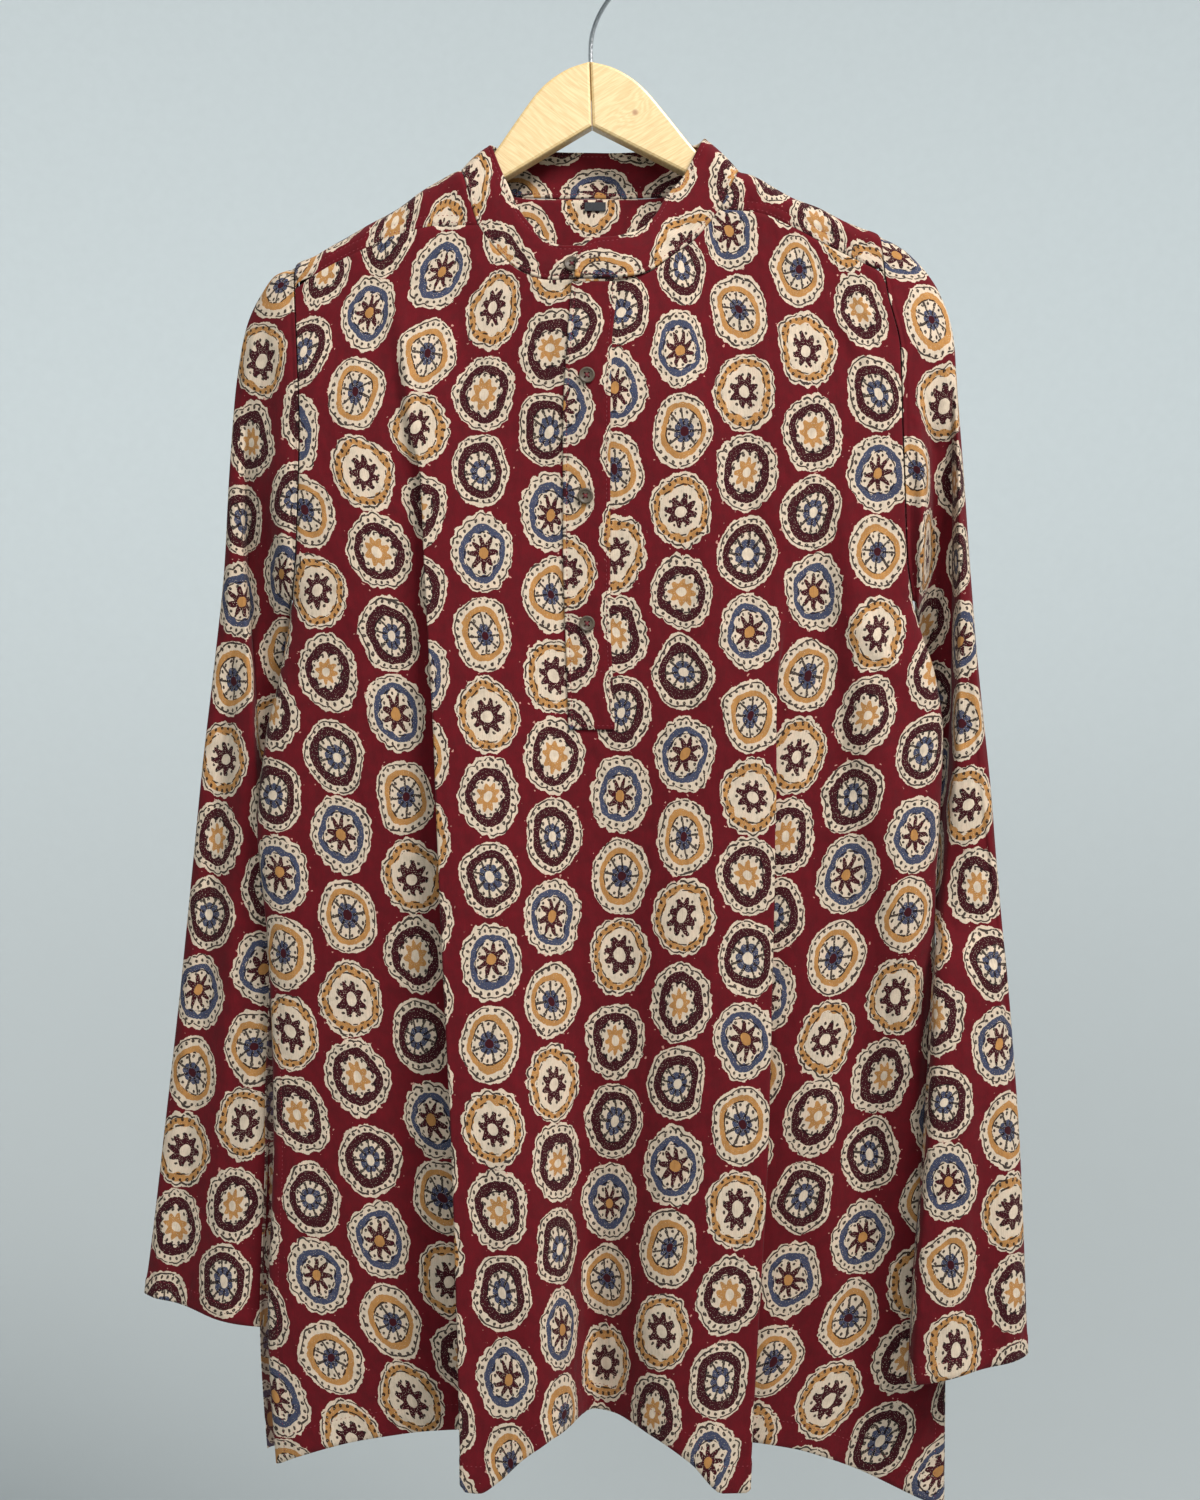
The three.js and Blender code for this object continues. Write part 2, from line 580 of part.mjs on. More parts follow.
// ---------------------------------------------------------------- yoke
// A rib of the yoke over one shoulder: a is 0 at the armhole and 1 at the neck. Its rows go
// up from the front seam to the ridge, down to the level of the back neckline and on to
// the back seam.
const yokeRise = [1, 0.62, 0.32, 0.1, 0];
const yokeCap = [0.12, 0.45, 1];
const yokeFall = [1 / 3, 2 / 3, 1];
function yokeRib(side, a) {
  const ends = yokeEnds[side];
  const seamX = mix(ends.armSeam, neckCorners[side], a);
  const seam = frontPoint(seamX, frontTopZ(seamX));
  seam.z += seamGap;
  const ridgeX = mix(ends.armRidge, ends.neckRidge, a);
  const ridge = new THREE.Vector3(ridgeX, 0, ridgeZ(ridgeX));
  const capX = mix(ends.armRidge, backNeckEnds[side], a);
  const capZ = mix(ridge.z - yokeCapDepth, backNeckZ(backNeckEnds[side]), a ** 3);
  const footX = mix(lines[side](-260), backNeckEnds[side], a);
  const footZ = backSeamZ(footX);
  const front = yokeRise.map((f) => {
    const round = rounded((f * (ridge.z - seam.z)) / shoulderRound);
    return new THREE.Vector3(mix(ridge.x, seam.x, f), seam.y * (f === 1 ? 1 : round), mix(ridge.z, seam.z, f));
  });
  const cap = yokeCap.map((f) => {
    const z = mix(ridge.z, capZ, f);
    const round = f === 1 ? 1 : rounded((ridge.z - z) / shoulderRound);
    return new THREE.Vector3(mix(ridge.x, capX, f), backDepth(capX, capZ) * round, z);
  });
  const fall = yokeFall.map((f) => {
    const [x, z] = [mix(capX, footX, f), mix(capZ, footZ, f)];
    return new THREE.Vector3(x, backDepth(x, z), z);
  });
  const rib = [...front, ...cap, ...fall];
  if (a === 0) rib.forEach((point) => point.setX(lines[side](point.z)));
  return rib;
}

function yokeBackRib(t) {
  const x = mix(backNeckEnds.left, backNeckEnds.right, t);
  const [top, foot] = [backNeckZ(x), backSeamZ(x)];
  const first = new THREE.Vector3(x, backDepth(x, top), top);
  const unused = [...yokeRise, ...yokeCap].map(() => first);
  const fall = yokeFall.map((f) => {
    const z = mix(top, foot, f);
    return new THREE.Vector3(x, backDepth(x, z), z);
  });
  return [...unused, ...fall];
}

function makeYoke() {
  const shoulder = [0, 0.08, 0.22, 0.38, 0.54, 0.7, 0.85, 1];
  const middle = spread(0, 1, 7).slice(1);
  const ribs = [
    ...shoulder.map((a) => yokeRib('left', a)),
    ...middle.map(yokeBackRib),
    ...[...shoulder].reverse().map((a) => yokeRib('right', a)),
  ];
  const grid = ribs[0].map((_, r) => ribs.map((rib) => rib[r]));
  const neckRow = yokeRise.length + yokeCap.length - 1;
  const firstNeck = shoulder.length - 1;
  const lastNeck = firstNeck + middle.length;
  const keep = (r, c) => !(r < neckRow && c >= firstNeck && c <= lastNeck);
  return wallGeometry(grid, cloth, { keep });
}

// The inner yoke lies inside the outer one behind the neck, where it shows.
function makeYokeLining() {
  const inset = cloth + seamGap;
  const xs = [-56, -40, -20, 0, 20, 40, 68];
  const falls = [0, 0.33, 0.66, 1];
  const grid = falls.map((f) =>
    xs.map((x) => {
      const z = mix(backNeckZ(x) - 1, backSeamZ(x) + 1, f);
      return new THREE.Vector3(x, backDepth(x, z) - inset, z);
    }),
  );
  return wallGeometry(grid, cloth);
}

// ---------------------------------------------------------------- collar
function makeCollar() {
  const neckEdges = { yokeLeft: yokeRib('left', 1), yokeRight: yokeRib('right', 1) };
  const seamPoint = ({ on, at, step }) => {
    if (on === 'front') return frontPoint(at, frontTopZ(at), step);
    if (on === 'back') return new THREE.Vector3(at, backDepth(at, backNeckZ(at)), backNeckZ(at));
    return neckEdges[on][at].clone();
  };
  const pairs = collarRibs.map((rib) => {
    const seam = seamPoint(rib);
    const top = new THREE.Vector3(rib.x, rib.y, rib.z);
    const lift = turnedGap / seam.distanceTo(top);
    return [top, seam.lerp(top, lift)];
  });
  const heights = [0, 0.35, 0.7, 1];
  const grid = heights.map((f) => pairs.map(([top, seam]) => top.clone().lerp(seam, f)));
  return wallGeometry(grid, bandCloth);
}

// The face of the collar's under end where its button sits, as seatButton wants it.
function collarFace(dx, dz) {
  const out = bandCloth / 2 + collarButton.standOff + buttonThick / 2;
  const x = collarButton.x + dx;
  const seamZ = frontTopZ(x);
  const [under, next] = collarRibs.slice(1, 3);
  const topY = mix(under.y, next.y, (x - under.x) / (next.x - under.x));
  const topZ = mix(under.z, next.z, (x - under.x) / (next.x - under.x));
  const z = collarButton.z + dz;
  const y = mix(-frontDepth(x, seamZ), topY, (z - seamZ) / (topZ - seamZ));
  return new THREE.Vector3(x, y - out, z);
}

// ---------------------------------------------------------------- sleeves
function armholePoint(side, angle) {
  const top = armholeTop[side];
  const z = mix(top, underarmZ, (1 - Math.cos(angle)) / 2);
  const x = lines[side](z) + (side === 'left' ? -turnedGap : turnedGap);
  return new THREE.Vector3(x, -Math.sign(Math.sin(angle)) * armholeHalf(side, z), z);
}

function ringPoint(row, angle, folds) {
  const outer = new THREE.Vector3(row.outX, row.outY, row.outZ);
  const inner = new THREE.Vector3(row.inX, row.inY, row.inZ);
  const long = outer.clone().sub(inner);
  const along = long.clone().normalize();
  const forward = new THREE.Vector3(0, -1, 0);
  forward.addScaledVector(along, -forward.dot(along)).normalize();
  const degrees = THREE.MathUtils.radToDeg(angle);
  const dent = folds.reduce((sum, fold) => sum + fold.depth * bump((degrees - fold.at) / fold.halfWidth), 0);
  const sine = Math.sin(angle);
  const offset = Math.sign(sine) * (row.half * Math.abs(sine) ** 0.8 - dent);
  return outer.clone().add(inner).multiplyScalar(0.5)
    .addScaledVector(long, Math.cos(angle) / 2)
    .addScaledVector(forward, Math.abs(sine) < 1e-6 ? 0 : offset);
}

function makeSleeve(side) {
  const table = side === 'left' ? leftSleeve : rightSleeve;
  const turn = side === 'left' ? 1 : -1;
  const count = 22;
  const angles = Array.from({ length: count }, (_, i) => (i / count) * 2 * Math.PI);
  const grid = table.map((row, r) => {
    const settled = smooth(r / armholeFade);
    const folds = sleeveFolds[side].map((fold) => {
      const share = smooth((r - fold.from) / armholeFade) * smooth((fold.to - r) / 2);
      return { ...fold, depth: fold.depth * share };
    });
    return angles.map((angle) => {
      const free = ringPoint(row, angle, folds);
      const start = ringPoint(table[0], angle, []);
      const correction = armholePoint(side, angle).sub(start).multiplyScalar(1 - settled);
      return free.add(correction);
    });
  });
  if (turn < 0) grid.forEach((ring) => ring.reverse());
  return wallGeometry(grid, cloth, { wrap: true });
}

// ---------------------------------------------------------------- placket, label, buttons
function makePlacket(offset, topDrop) {
  const heights = [0, 0.06, 0.16, 0.3, 0.45, 0.6, 0.75, 0.88, 1];
  const columns = [0, 0.25, 0.5, 0.75, 1];
  const grid = heights.map((f) =>
    columns.map((g) => {
      const topX = mix(lines.slotLeft(-224) - placketOverlap, lines.slotRight(-224) + placketOverlap, g);
      const z = mix(frontTopZ(topX) - topDrop, placketFootZ, f);
      const x = mix(lines.slotLeft(z) - placketOverlap, lines.slotRight(z) + placketOverlap, g);
      return frontPoint(x, z, offset);
    }),
  );
  return wallGeometry(grid, cloth);
}

function makeLabel() {
  const { left, right, top, foot } = label;
  const inset = (cloth + seamGap) * 1.5 + labelCloth / 2;
  const grid = [top, (top + foot) / 2, foot].map((z) =>
    [left, (left + right) / 2, right].map((x) => new THREE.Vector3(x, backDepth(x, z) - inset, z)),
  );
  return wallGeometry(grid, labelCloth);
}

// A four-hole button with a raised rim, its face towards -Y.
function makeButton() {
  const half = buttonThick / 2;
  const r = buttonRadius;
  const profile = [
    [0, -half], [r * 0.72, -half], [r, -half * 0.3], [r, half * 0.5], [r * 0.9, half], [r * 0.72, half],
    [r * 0.6, half * 0.55], [0, half * 0.55],
  ].map(([radius, height]) => new THREE.Vector2(radius, height));
  const disc = new THREE.LatheGeometry(profile, 24);
  const holes = [[1, 1], [1, -1], [-1, 1], [-1, -1]].map(([i, j]) => {
    const hole = new THREE.CylinderGeometry(buttonHoleRadius, buttonHoleRadius, buttonThick * 2, 8);
    return hole.translate(i * buttonHoleSpread, 0, j * buttonHoleSpread);
  });
  return cut(disc, holes);
}

// Sets a button on a surface given as a function of a small step along X and Z.
function seatButton(button, surface) {
  const step = 2;
  const across = surface(step, 0).sub(surface(-step, 0));
  const up = surface(0, step).sub(surface(0, -step));
  button.quaternion.setFromUnitVectors(new THREE.Vector3(0, 1, 0), across.cross(up).normalize());
  button.position.copy(surface(0, 0));
}

// ---------------------------------------------------------------- hanger
function makeHangerArm(side) {
  const direction = side === 'right' ? 1 : -1;
  const outline = new THREE.Shape();
  const start = hangerSeam / 2;
  outline.moveTo(start * direction, hangerTop[0].z);
  const top = hangerTop.slice(1).map(({ x, z }) => new THREE.Vector2(x * direction, z));
  outline.splineThru(top);
  const lastTop = hangerTop[hangerTop.length - 1];
  const firstBottom = hangerBottom[0];
  outline.bezierCurveTo(
    (lastTop.x + hangerEnd.reach) * direction, lastTop.z - hangerEnd.topDrop,
    (firstBottom.x + hangerEnd.reach) * direction, firstBottom.z - hangerEnd.footDrop,
    firstBottom.x * direction, firstBottom.z,
  );
  hangerBottom.slice(1, -1).forEach(({ x, z }) => outline.lineTo(x * direction, z));
  outline.lineTo(start * direction, hangerBottom[hangerBottom.length - 1].z);
  const wood = new THREE.ExtrudeGeometry(outline, {
    depth: hangerThick - 2 * hangerBevel,
    bevelThickness: hangerBevel,
    bevelSize: hangerBevel,
    bevelOffset: -hangerBevel,
    bevelSegments: 2,
    curveSegments: 3,
  });
  wood.translate(0, 0, -(hangerThick / 2 - hangerBevel));
  wood.rotateX(Math.PI / 2);
  return wood;
}

const woodMiddle = new THREE.Vector3(0, 0, hangerMiddleZ);
function boreTool() {
  const radius = wireRadius + shankClearance;
  const tool = new THREE.CylinderGeometry(radius, radius, 2 * (shankDepth + shankClearance), 10);
  tool.rotateX(Math.PI / 2);
  tool.translate(0, 0, hangerTop[0].z - woodMiddle.z);
  tool.rotateY(-hangerTilt);
  return tool.translate(0, 0, woodMiddle.z);
}

// The wire rises from the wood, sweeps out to the right and round the loop to its tip.
function makeHook() {
  const middle = wireRadius - loopRadius;
  const stem = [[0, hangerTop[0].z - shankDepth], ...hookStem.map(({ x, z }) => [x, z])];
  const turns = Array.from({ length: loopEnds.steps + 1 }, (_, i) =>
    THREE.MathUtils.degToRad(mix(loopEnds.from, loopEnds.to, i / loopEnds.steps)),
  );
  const loop = turns.map((angle) => [loopRadius * Math.cos(angle), middle + loopRadius * Math.sin(angle)]);
  const path = new THREE.CatmullRomCurve3([...stem, ...loop].map(([x, z]) => new THREE.Vector3(x, 0, z)));
  const section = new THREE.Shape();
  section.absarc(0, 0, wireRadius, 0, 2 * Math.PI);
  return new THREE.ExtrudeGeometry(section, { extrudePath: path, steps: 44, curveSegments: 4, bevelEnabled: false });
}

// ---------------------------------------------------------------- the assembled garment
const finishes = {
  print: new THREE.MeshStandardMaterial({ color: colours.print, roughness: 0.9, side: THREE.DoubleSide }),
  wood: new THREE.MeshStandardMaterial({ color: colours.wood, roughness: 0.5 }),
  steel: new THREE.MeshStandardMaterial({ color: colours.steel, roughness: 0.3, metalness: 1 }),
  button: new THREE.MeshStandardMaterial({ color: colours.button, roughness: 0.6 }),
  label: new THREE.MeshStandardMaterial({ color: colours.label, roughness: 0.8 }),
};

function piece(name, geometry, finish) {
  const mesh = new THREE.Mesh(geometry, finishes[finish].clone());
  mesh.name = name;
  return mesh;
}

const kurta = new THREE.Group();
kurta.add(piece('front', makeFront(), 'print'));
kurta.add(piece('back', makeBack(), 'print'));
kurta.add(piece('yoke', makeYoke(), 'print'));
kurta.add(piece('yoke_lining', makeYokeLining(), 'print'));
kurta.add(piece('sleeve_left', makeSleeve('left'), 'print'));
kurta.add(piece('sleeve_right', makeSleeve('right'), 'print'));
kurta.add(piece('collar', makeCollar(), 'print'));
kurta.add(piece('placket_over', makePlacket(cloth + seamGap, placketTopDrop), 'print'));
kurta.add(piece('placket_under', makePlacket(-cloth - seamGap, placketTopDrop), 'print'));
kurta.add(piece('neck_label', makeLabel(), 'label'));

buttonPlaces.forEach(({ x, z }, i) => {
  const button = piece(`button_${i + 1}`, makeButton(), 'button');
  const out = cloth + seamGap + cloth / 2 + seamGap + buttonThick / 2;
  seatButton(button, (dx, dz) => frontPoint(x + dx, z + dz, out));
  kurta.add(button);
});
const neckButton = piece('button_collar', makeButton(), 'button');
seatButton(neckButton, collarFace);
kurta.add(neckButton);

const woodwork = new THREE.Group();
woodwork.position.copy(woodMiddle);
woodwork.rotation.y = hangerTilt;
for (const side of ['left', 'right']) {
  const arm = piece(`hanger_${side}`, cut(makeHangerArm(side), [boreTool()]), 'wood');
  arm.position.copy(woodMiddle).negate();
  woodwork.add(arm);
}
kurta.add(woodwork);
kurta.add(piece('hanger_hook', makeHook(), 'steel'));

export default kurta;
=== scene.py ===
"""Looks for the printed kurta on its wooden hanger: cloth shells on the CAD solids' forms,
block print, weave, stitching, wood, wire and buttons. Lengths in the tables are millimetres."""
import math

import bpy
import numpy as np
from mathutils import Matrix, Vector


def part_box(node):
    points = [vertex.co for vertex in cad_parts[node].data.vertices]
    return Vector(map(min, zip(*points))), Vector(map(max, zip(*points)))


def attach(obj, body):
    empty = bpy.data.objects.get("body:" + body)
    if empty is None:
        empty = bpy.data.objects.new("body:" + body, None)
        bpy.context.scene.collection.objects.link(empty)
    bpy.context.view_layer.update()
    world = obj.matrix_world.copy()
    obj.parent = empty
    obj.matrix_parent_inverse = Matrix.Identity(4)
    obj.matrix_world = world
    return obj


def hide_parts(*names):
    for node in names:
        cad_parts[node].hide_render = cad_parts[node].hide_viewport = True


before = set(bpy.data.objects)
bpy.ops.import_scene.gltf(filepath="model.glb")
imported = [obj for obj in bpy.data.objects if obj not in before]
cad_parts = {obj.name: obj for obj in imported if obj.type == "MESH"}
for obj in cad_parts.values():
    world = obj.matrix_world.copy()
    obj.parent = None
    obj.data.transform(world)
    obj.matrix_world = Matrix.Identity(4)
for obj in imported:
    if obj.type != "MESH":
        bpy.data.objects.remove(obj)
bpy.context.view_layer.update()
scene = bpy.context.scene
MM = 0.001
TURN = 2 * math.pi

# ---------------------------------------------------------------- camera
PHOTO_EYE = (0.00585, -1.2, -0.5225)
LENS = 44.3  # on the 36 mm long side
camera = bpy.data.objects.new("camera", bpy.data.cameras.new("camera"))
camera.data.lens = LENS
camera.data.sensor_width = 36
camera.location = PHOTO_EYE
camera.rotation_euler = (math.pi / 2, 0, 0)
scene.collection.objects.link(camera)
scene.camera = camera

# ---------------------------------------------------------------- sizes and tables, as in the CAD
SEAM_GAP = 0.3
TURNED_GAP = 1.2
EDGE_ROUND = 24
SHOULDER_ROUND = 10
UNDERARM_Z = -425
UNDERARM_ROUND = 90
# Half the armhole's width at its top and lower down, and the way between the two
ARMHOLE_HALVES = (9, 13)
ARMHOLE_WIDENS = 60
# Half the gap at the foot of a side slit, and the length it opens over
SLIT_HALF = 4
SLIT_OPENS = 160
SLIT_TOP_Z = -645
SLIT_SHOW = 7
YOKE_CAP = 11
PLACKET_OVERLAP = 3
PLACKET_FOOT_Z = -509
PLACKET_TOP_DROP = 1.8
SLOT_FOOT_Z = -500
# x of the body's lines at heights z: its sides, its folds' crests and the placket's slot
BODY_LINES = (
    ("z", "left", "foldLeft", "slotLeft", "slotRight", "foldRight", "right"),
    (-170, -191, -127, -8, 13, 116, 184),
    (-226, -190.5, -127, -9, 13, 116, 190),
    (-265, -188.5, -118, -12, 10, 117, 198.5),
    (-318, -187, -106, -14.5, 9, 117.5, 200),
    (-345, -187.5, -94.5, -14.5, 9, 117.5, 201),
    (-399, -190, -86, -14.5, 9, 117.5, 203.5),
    (-432, -194.5, -83, -13.5, 9, 115, 210),
    (-477, -202.5, -79.5, -12, 10.5, 107, 224),
    (-514, -211, -77, -11, 12, 102, 228.5),
    (-575, -216.5, -74, -12, 12, 97.5, 226),
    (-615, -213, -72, -13, 12, 96, 223.8),
    (-670, -208, -69, -14, 11, 93.5, 223),
    (-774, -205, -63, -17, 9, 89, 224),
    (-891, -208.5, -58, -20, 7, 81, 229),
    (-1015, -201, -53.5, -22, 5, 73, 228),
)
BODY_DEPTHS = (
    ("z", "front", "back", "foldLeft", "foldRight", "backFolds"),
    (-120, 12, 16.5, 0, 0, 0),
    (-215, 12, 13, 0, 0, 0),
    (-300, 15, 12, 4, 0, 1),
    (-383, 15, 12, 9, 0, 3),
    (-460, 14, 12, 13, 5, 5),
    (-550, 13, 12, 18, 11, 7),
    (-700, 12, 12, 28, 23, 10),
    (-850, 11, 12, 37, 34, 14),
    (-985, 10, 12, 44, 43, 17),
)
FRONT_TOP = (
    ("x", "z"),
    (-191, -226), (-174, -214.5), (-148, -201), (-122, -190.5), (-96, -185), (-73, -185),
    (-63, -199), (-45, -216), (-26, -222.5), (13, -222.5), (36, -217.5), (52, -206),
    (68, -193.5), (83, -175), (106, -176.5), (130, -186), (153, -198), (186, -214.5),
)
FRONT_HEM = (
    ("s", "z"),
    (0, -984), (0.03, -977), (0.1, -967), (0.18, -961), (0.215, -960), (0.235, -965),
    (0.25, -975), (0.27, -983), (0.31, -984), (0.35, -977), (0.4, -962), (0.45, -952),
    (0.5, -946.5), (0.54, -947), (0.58, -950), (0.62, -955), (0.66, -966), (0.7, -984),
    (0.735, -984), (0.755, -975), (0.775, -968), (0.83, -972), (0.9, -985), (1, -1012),
)
BACK_HEM = (
    ("s", "z"),
    (0, -978), (0.2, -968), (0.35, -957), (0.48, -951), (0.62, -958), (0.78, -974), (1, -1008),
)
BACK_YOKE_SEAM = (("x", "z"), (-190, -262), (0, -250), (190, -256))
SHOULDER_RIDGE = (
    ("x", "z"),
    (-192, -210), (-152, -186.5), (-122, -169.6), (-84, -147.2),
    (96, -147.6), (120, -159.2), (148, -171.6), (186, -189.6),
)
BACK_NECK = (("x", "z"), (-60, -158), (-30, -160.3), (30, -160.3), (72, -156))
# The two long folds of the front: which way they lean and the width of their flanks
FRONT_FOLDS = {"foldLeft": (-1, 15), "foldRight": (1, 15)}
LEAN_REACH = 45
# The width of each fold's flat top, and of its slope towards the middle beyond it
FOLD_TOPS = (
    ("z", "foldLeftTop", "foldLeftSlope", "foldRightTop", "foldRightSlope"),
    (-300, 0, 72, 0, 74), (-560, 4, 66, 6, 78), (-700, 10, 56, 16, 78), (-800, 22, 40, 19, 72),
    (-985, 30, 28, 12, 64),
)
# How far the crests lean past the flank's foot, so that the cloth overlaps itself
FOLD_LEAN = (
    ("z", "foldLeft", "foldRight"),
    (-300, 1, 0), (-345, 13, 0), (-420, 20, 1), (-470, 21, 9),
    (-560, 22, 18), (-750, 23, 21), (-985, 25, 23),
)
# The back's long folds: x at the yoke and at the hem, half width, share of their depth
BACK_RIDGES = ((-120, -128, 46, 0.8), (-20, -34, 40, 1.0), (62, 58, 36, 0.7), (130, 150, 44, 0.9))
# Each side's x of the yoke at the armhole's seam and ridge, the neck's ridge and back end,
# and the corner of the neck
YOKE_ENDS = {"left": (-190.5, -191, -84, -60, -73), "right": (187, 186, 96, 72, 83)}
ARMHOLE_TOP = {"left": -210, "right": -189.6}
# The collar's ribs: what its seam follows, where, a step forward, and the top edge's point
COLLAR_RIBS = (
    ("front", 13, 1.2, 11, -20, -199.5),
    ("front", -10, 0.6, -9, -19.5, -200.5),
    ("front", -26, 0, -22, -18.5, -199.5),
    ("front", -45, 0, -35, -16, -190),
    ("front", -63, 0, -47, -12, -174.5),
    ("left", 0, 0, -53, -11.5, -161),
    ("left", 2, 0, -60, -9.5, -145),
    ("left", 3, 0, -64, -8.5, -134.5),
    ("left", 4, 0, -65, 0, -130),
    ("left", 6, 0, -61, 11.5, -128.3),
    ("left", 7, 0, -51, 14.5, -128.6),
    ("back", -30, 0, -27, 16, -129.3),
    ("back", 5, 0, 5, 16.5, -129.8),
    ("back", 38, 0, 36, 16, -129.3),
    ("right", 7, 0, 61, 14.5, -126.6),
    ("right", 6, 0, 70, 11.5, -125.6),
    ("right", 4, 0, 74, 0, -125.6),
    ("right", 3, 0, 71.5, -8.5, -131),
    ("right", 2, 0, 66, -9.5, -142),
    ("right", 0, 0, 59, -11.5, -155),
    ("front", 68, 0, 49, -14, -167),
    ("front", 52, 0.5, 41, -18, -181),
    ("front", 36, 1.5, 31, -21.5, -190.8),
    ("front", 20, 2.6, 17, -24, -195.5),
    ("front", 2, 4, 1, -25.5, -198),
    ("front", -10, 4.6, -8.5, -26, -207),
)
# Each sleeve from armhole to cuff: its outer and inner fold, and half its thickness
SLEEVE_COLUMNS = ("outX", "outY", "outZ", "inX", "inY", "inZ", "half")
SLEEVES = {
    "left": (
        (-192, 0, -210, -194.5, 0, -425, 12),
        (-204, 1, -214, -196, 1, -427, 12.5),
        (-214, 2, -226, -196.2, 4, -430, 13),
        (-224, 3, -247, -196.2, 8, -433, 14),
        (-231, 5, -283, -196.3, 13, -438, 15),
        (-236.5, 8, -345, -198, 19, -450, 15.5),
        (-240, 11, -400, -201, 24, -468, 17),
        (-247, 15, -460, -203, 28, -500, 17),
        (-256, 19, -530, -206, 28, -550, 17),
        (-264.5, 22, -610, -207, 27, -620, 17),
        (-273, 24, -690, -205, 25, -695, 17),
        (-282, 24, -770, -205, 23, -775, 17),
        (-290, 24, -840, -207, 22, -850, 17),
        (-295.5, 24, -882, -208, 22, -901, 17),
    ),
    "right": (
        (186, 0, -190, 208.5, 0, -425, 12),
        (200, 1, -197, 210.5, 1, -427, 12.5),
        (213, 1, -208, 212, 4, -430, 13),
        (226, 1, -226, 213, 9, -433, 14),
        (234.5, 0, -252, 214, 15, -438, 15),
        (239, 0, -300, 215, 21, -447, 15),
        (243.5, 0, -360, 216, 26, -462, 15),
        (247, -2, -420, 217, 30, -482, 13),
        (251, -5, -480, 216, 31, -512, 11),
        (256.5, -9, -545, 219, 28, -562, 11),
        (260, -12, -590, 223.5, 11, -600, 9),
        (263, -14.5, -626, 223.6, -4, -634, 9),
        (265.5, -18, -665, 218.5, -22, -672, 14),
        (272.5, -22, -775, 210, -35, -784, 14),
        (275.5, -24, -850, 203.5, -36, -862, 14),
        (277, -25, -905, 200.5, -37, -920, 14),
    ),
}
ARMHOLE_FADE = 4
BUTTON_PLACES = {"button_1": (-2.5, -284), "button_2": (-3.5, -360), "button_3": (-2.5, -441.5)}


# ---------------------------------------------------------------- shape helpers
def clamp01(t):
    return np.clip(t, 0, 1)


def mix(a, b, t):
    return a + (b - a) * t


def smooth(t):
    t = clamp01(t)
    return t * t * (3 - 2 * t)


def bump(t):
    """A soft bump, 1 where t is 0 and gone where it is 1 either way."""
    return np.where(np.abs(t) < 1, 0.5 + 0.5 * np.cos(np.pi * np.clip(t, -1, 1)), 0.0)


def rounded(t):
    """A quarter circle's rise from 0 to 1."""
    return np.sqrt(1 - (1 - clamp01(t)) ** 2)


def curve(table, key, name):
    """A smooth curve through a table's columns that never overshoots its rows."""
    head, rows = table[0], sorted(table[1:], key=lambda row: row[table[0].index(key)])
    at = np.array([row[head.index(key)] for row in rows], float)
    value = np.array([row[head.index(name)] for row in rows], float)
    slope = np.diff(value) / np.diff(at)
    inner = slope[:-1] * slope[1:]
    safe = np.where(inner > 0, slope[:-1] + slope[1:], 1)
    tangent = np.concatenate(([slope[0]], np.where(inner > 0, 2 * inner / safe, 0), [slope[-1]]))

    def read(where):
        k = np.clip(np.asarray(where, float), at[0], at[-1])
        i = np.clip(np.searchsorted(at, k, side="right") - 1, 0, len(at) - 2)
        span = at[i + 1] - at[i]
        t = (k - at[i]) / span
        return (
            value[i] * (1 + 2 * t) * (1 - t) ** 2
            + value[i + 1] * t * t * (3 - 2 * t)
            + tangent[i] * span * t * (1 - t) ** 2
            + tangent[i + 1] * span * t * t * (t - 1)
        )

    return read


def spaced(count, dense):
    """count places from 0 to 1, closer together near each (place, reach, factor) of dense."""
    fine = np.linspace(0, 1, 4001)
    weight = 1 + sum(factor * bump((fine - place) / reach) for place, reach, factor in dense)
    total = np.concatenate(([0], np.cumsum((weight[1:] + weight[:-1]) / 2)))
    return np.interp(np.linspace(0, total[-1], count), total, fine)


def waves(x, z, seed, size, count=7):
    """Soft, seeded undulation of about 1, mostly running down the cloth."""
    random = np.random.default_rng(seed)
    total = np.zeros(np.broadcast(x, z).shape)
    for _ in range(count):
        across = random.uniform(0.7, 1.6) / size * random.choice((-1, 1))
        down = random.uniform(0.1, 0.5) / size
        total = total + np.sin(TURN * (x * across + z * down) + random.uniform(0, 6.28))
    return total / math.sqrt(count)


def creases(rows, x, z):
    """Soft ridges (positive) and troughs: each row is x, z at both ends, half width, height."""
    total = np.zeros(np.broadcast(x, z).shape)
    for x0, z0, x1, z1, half, height in rows:
        dx, dz = x1 - x0, z1 - z0
        length = math.hypot(dx, dz)
        along = ((x - x0) * dx + (z - z0) * dz) / length**2
        aside = ((x - x0) * dz - (z - z0) * dx) / length
        total = total + height * bump(aside / half) * bump(2 * clamp01(along) - 1) ** 0.6 * (
            (along > 0) & (along < 1)
        )
    return total


# ---------------------------------------------------------------- the body's surfaces
LINE_NAMES = BODY_LINES[0][1:]
# How far across the body each of its lines counts as: the places that columns go by
LINE_PLACES = np.array([0, 0.26, 0.45, 0.51, 0.74, 1])
lines, depth, lean, fold_tops = (
    {name: curve(table, "z", name) for name in table[0][1:]}
    for table in (BODY_LINES, BODY_DEPTHS, FOLD_LEAN, FOLD_TOPS)
)
front_top_z = curve(FRONT_TOP, "x", "z")
front_hem_z = curve(FRONT_HEM, "s", "z")
back_hem_z = curve(BACK_HEM, "s", "z")
back_seam_z = curve(BACK_YOKE_SEAM, "x", "z")
ridge_z = curve(SHOULDER_RIDGE, "x", "z")
back_neck_z = curve(BACK_NECK, "x", "z")


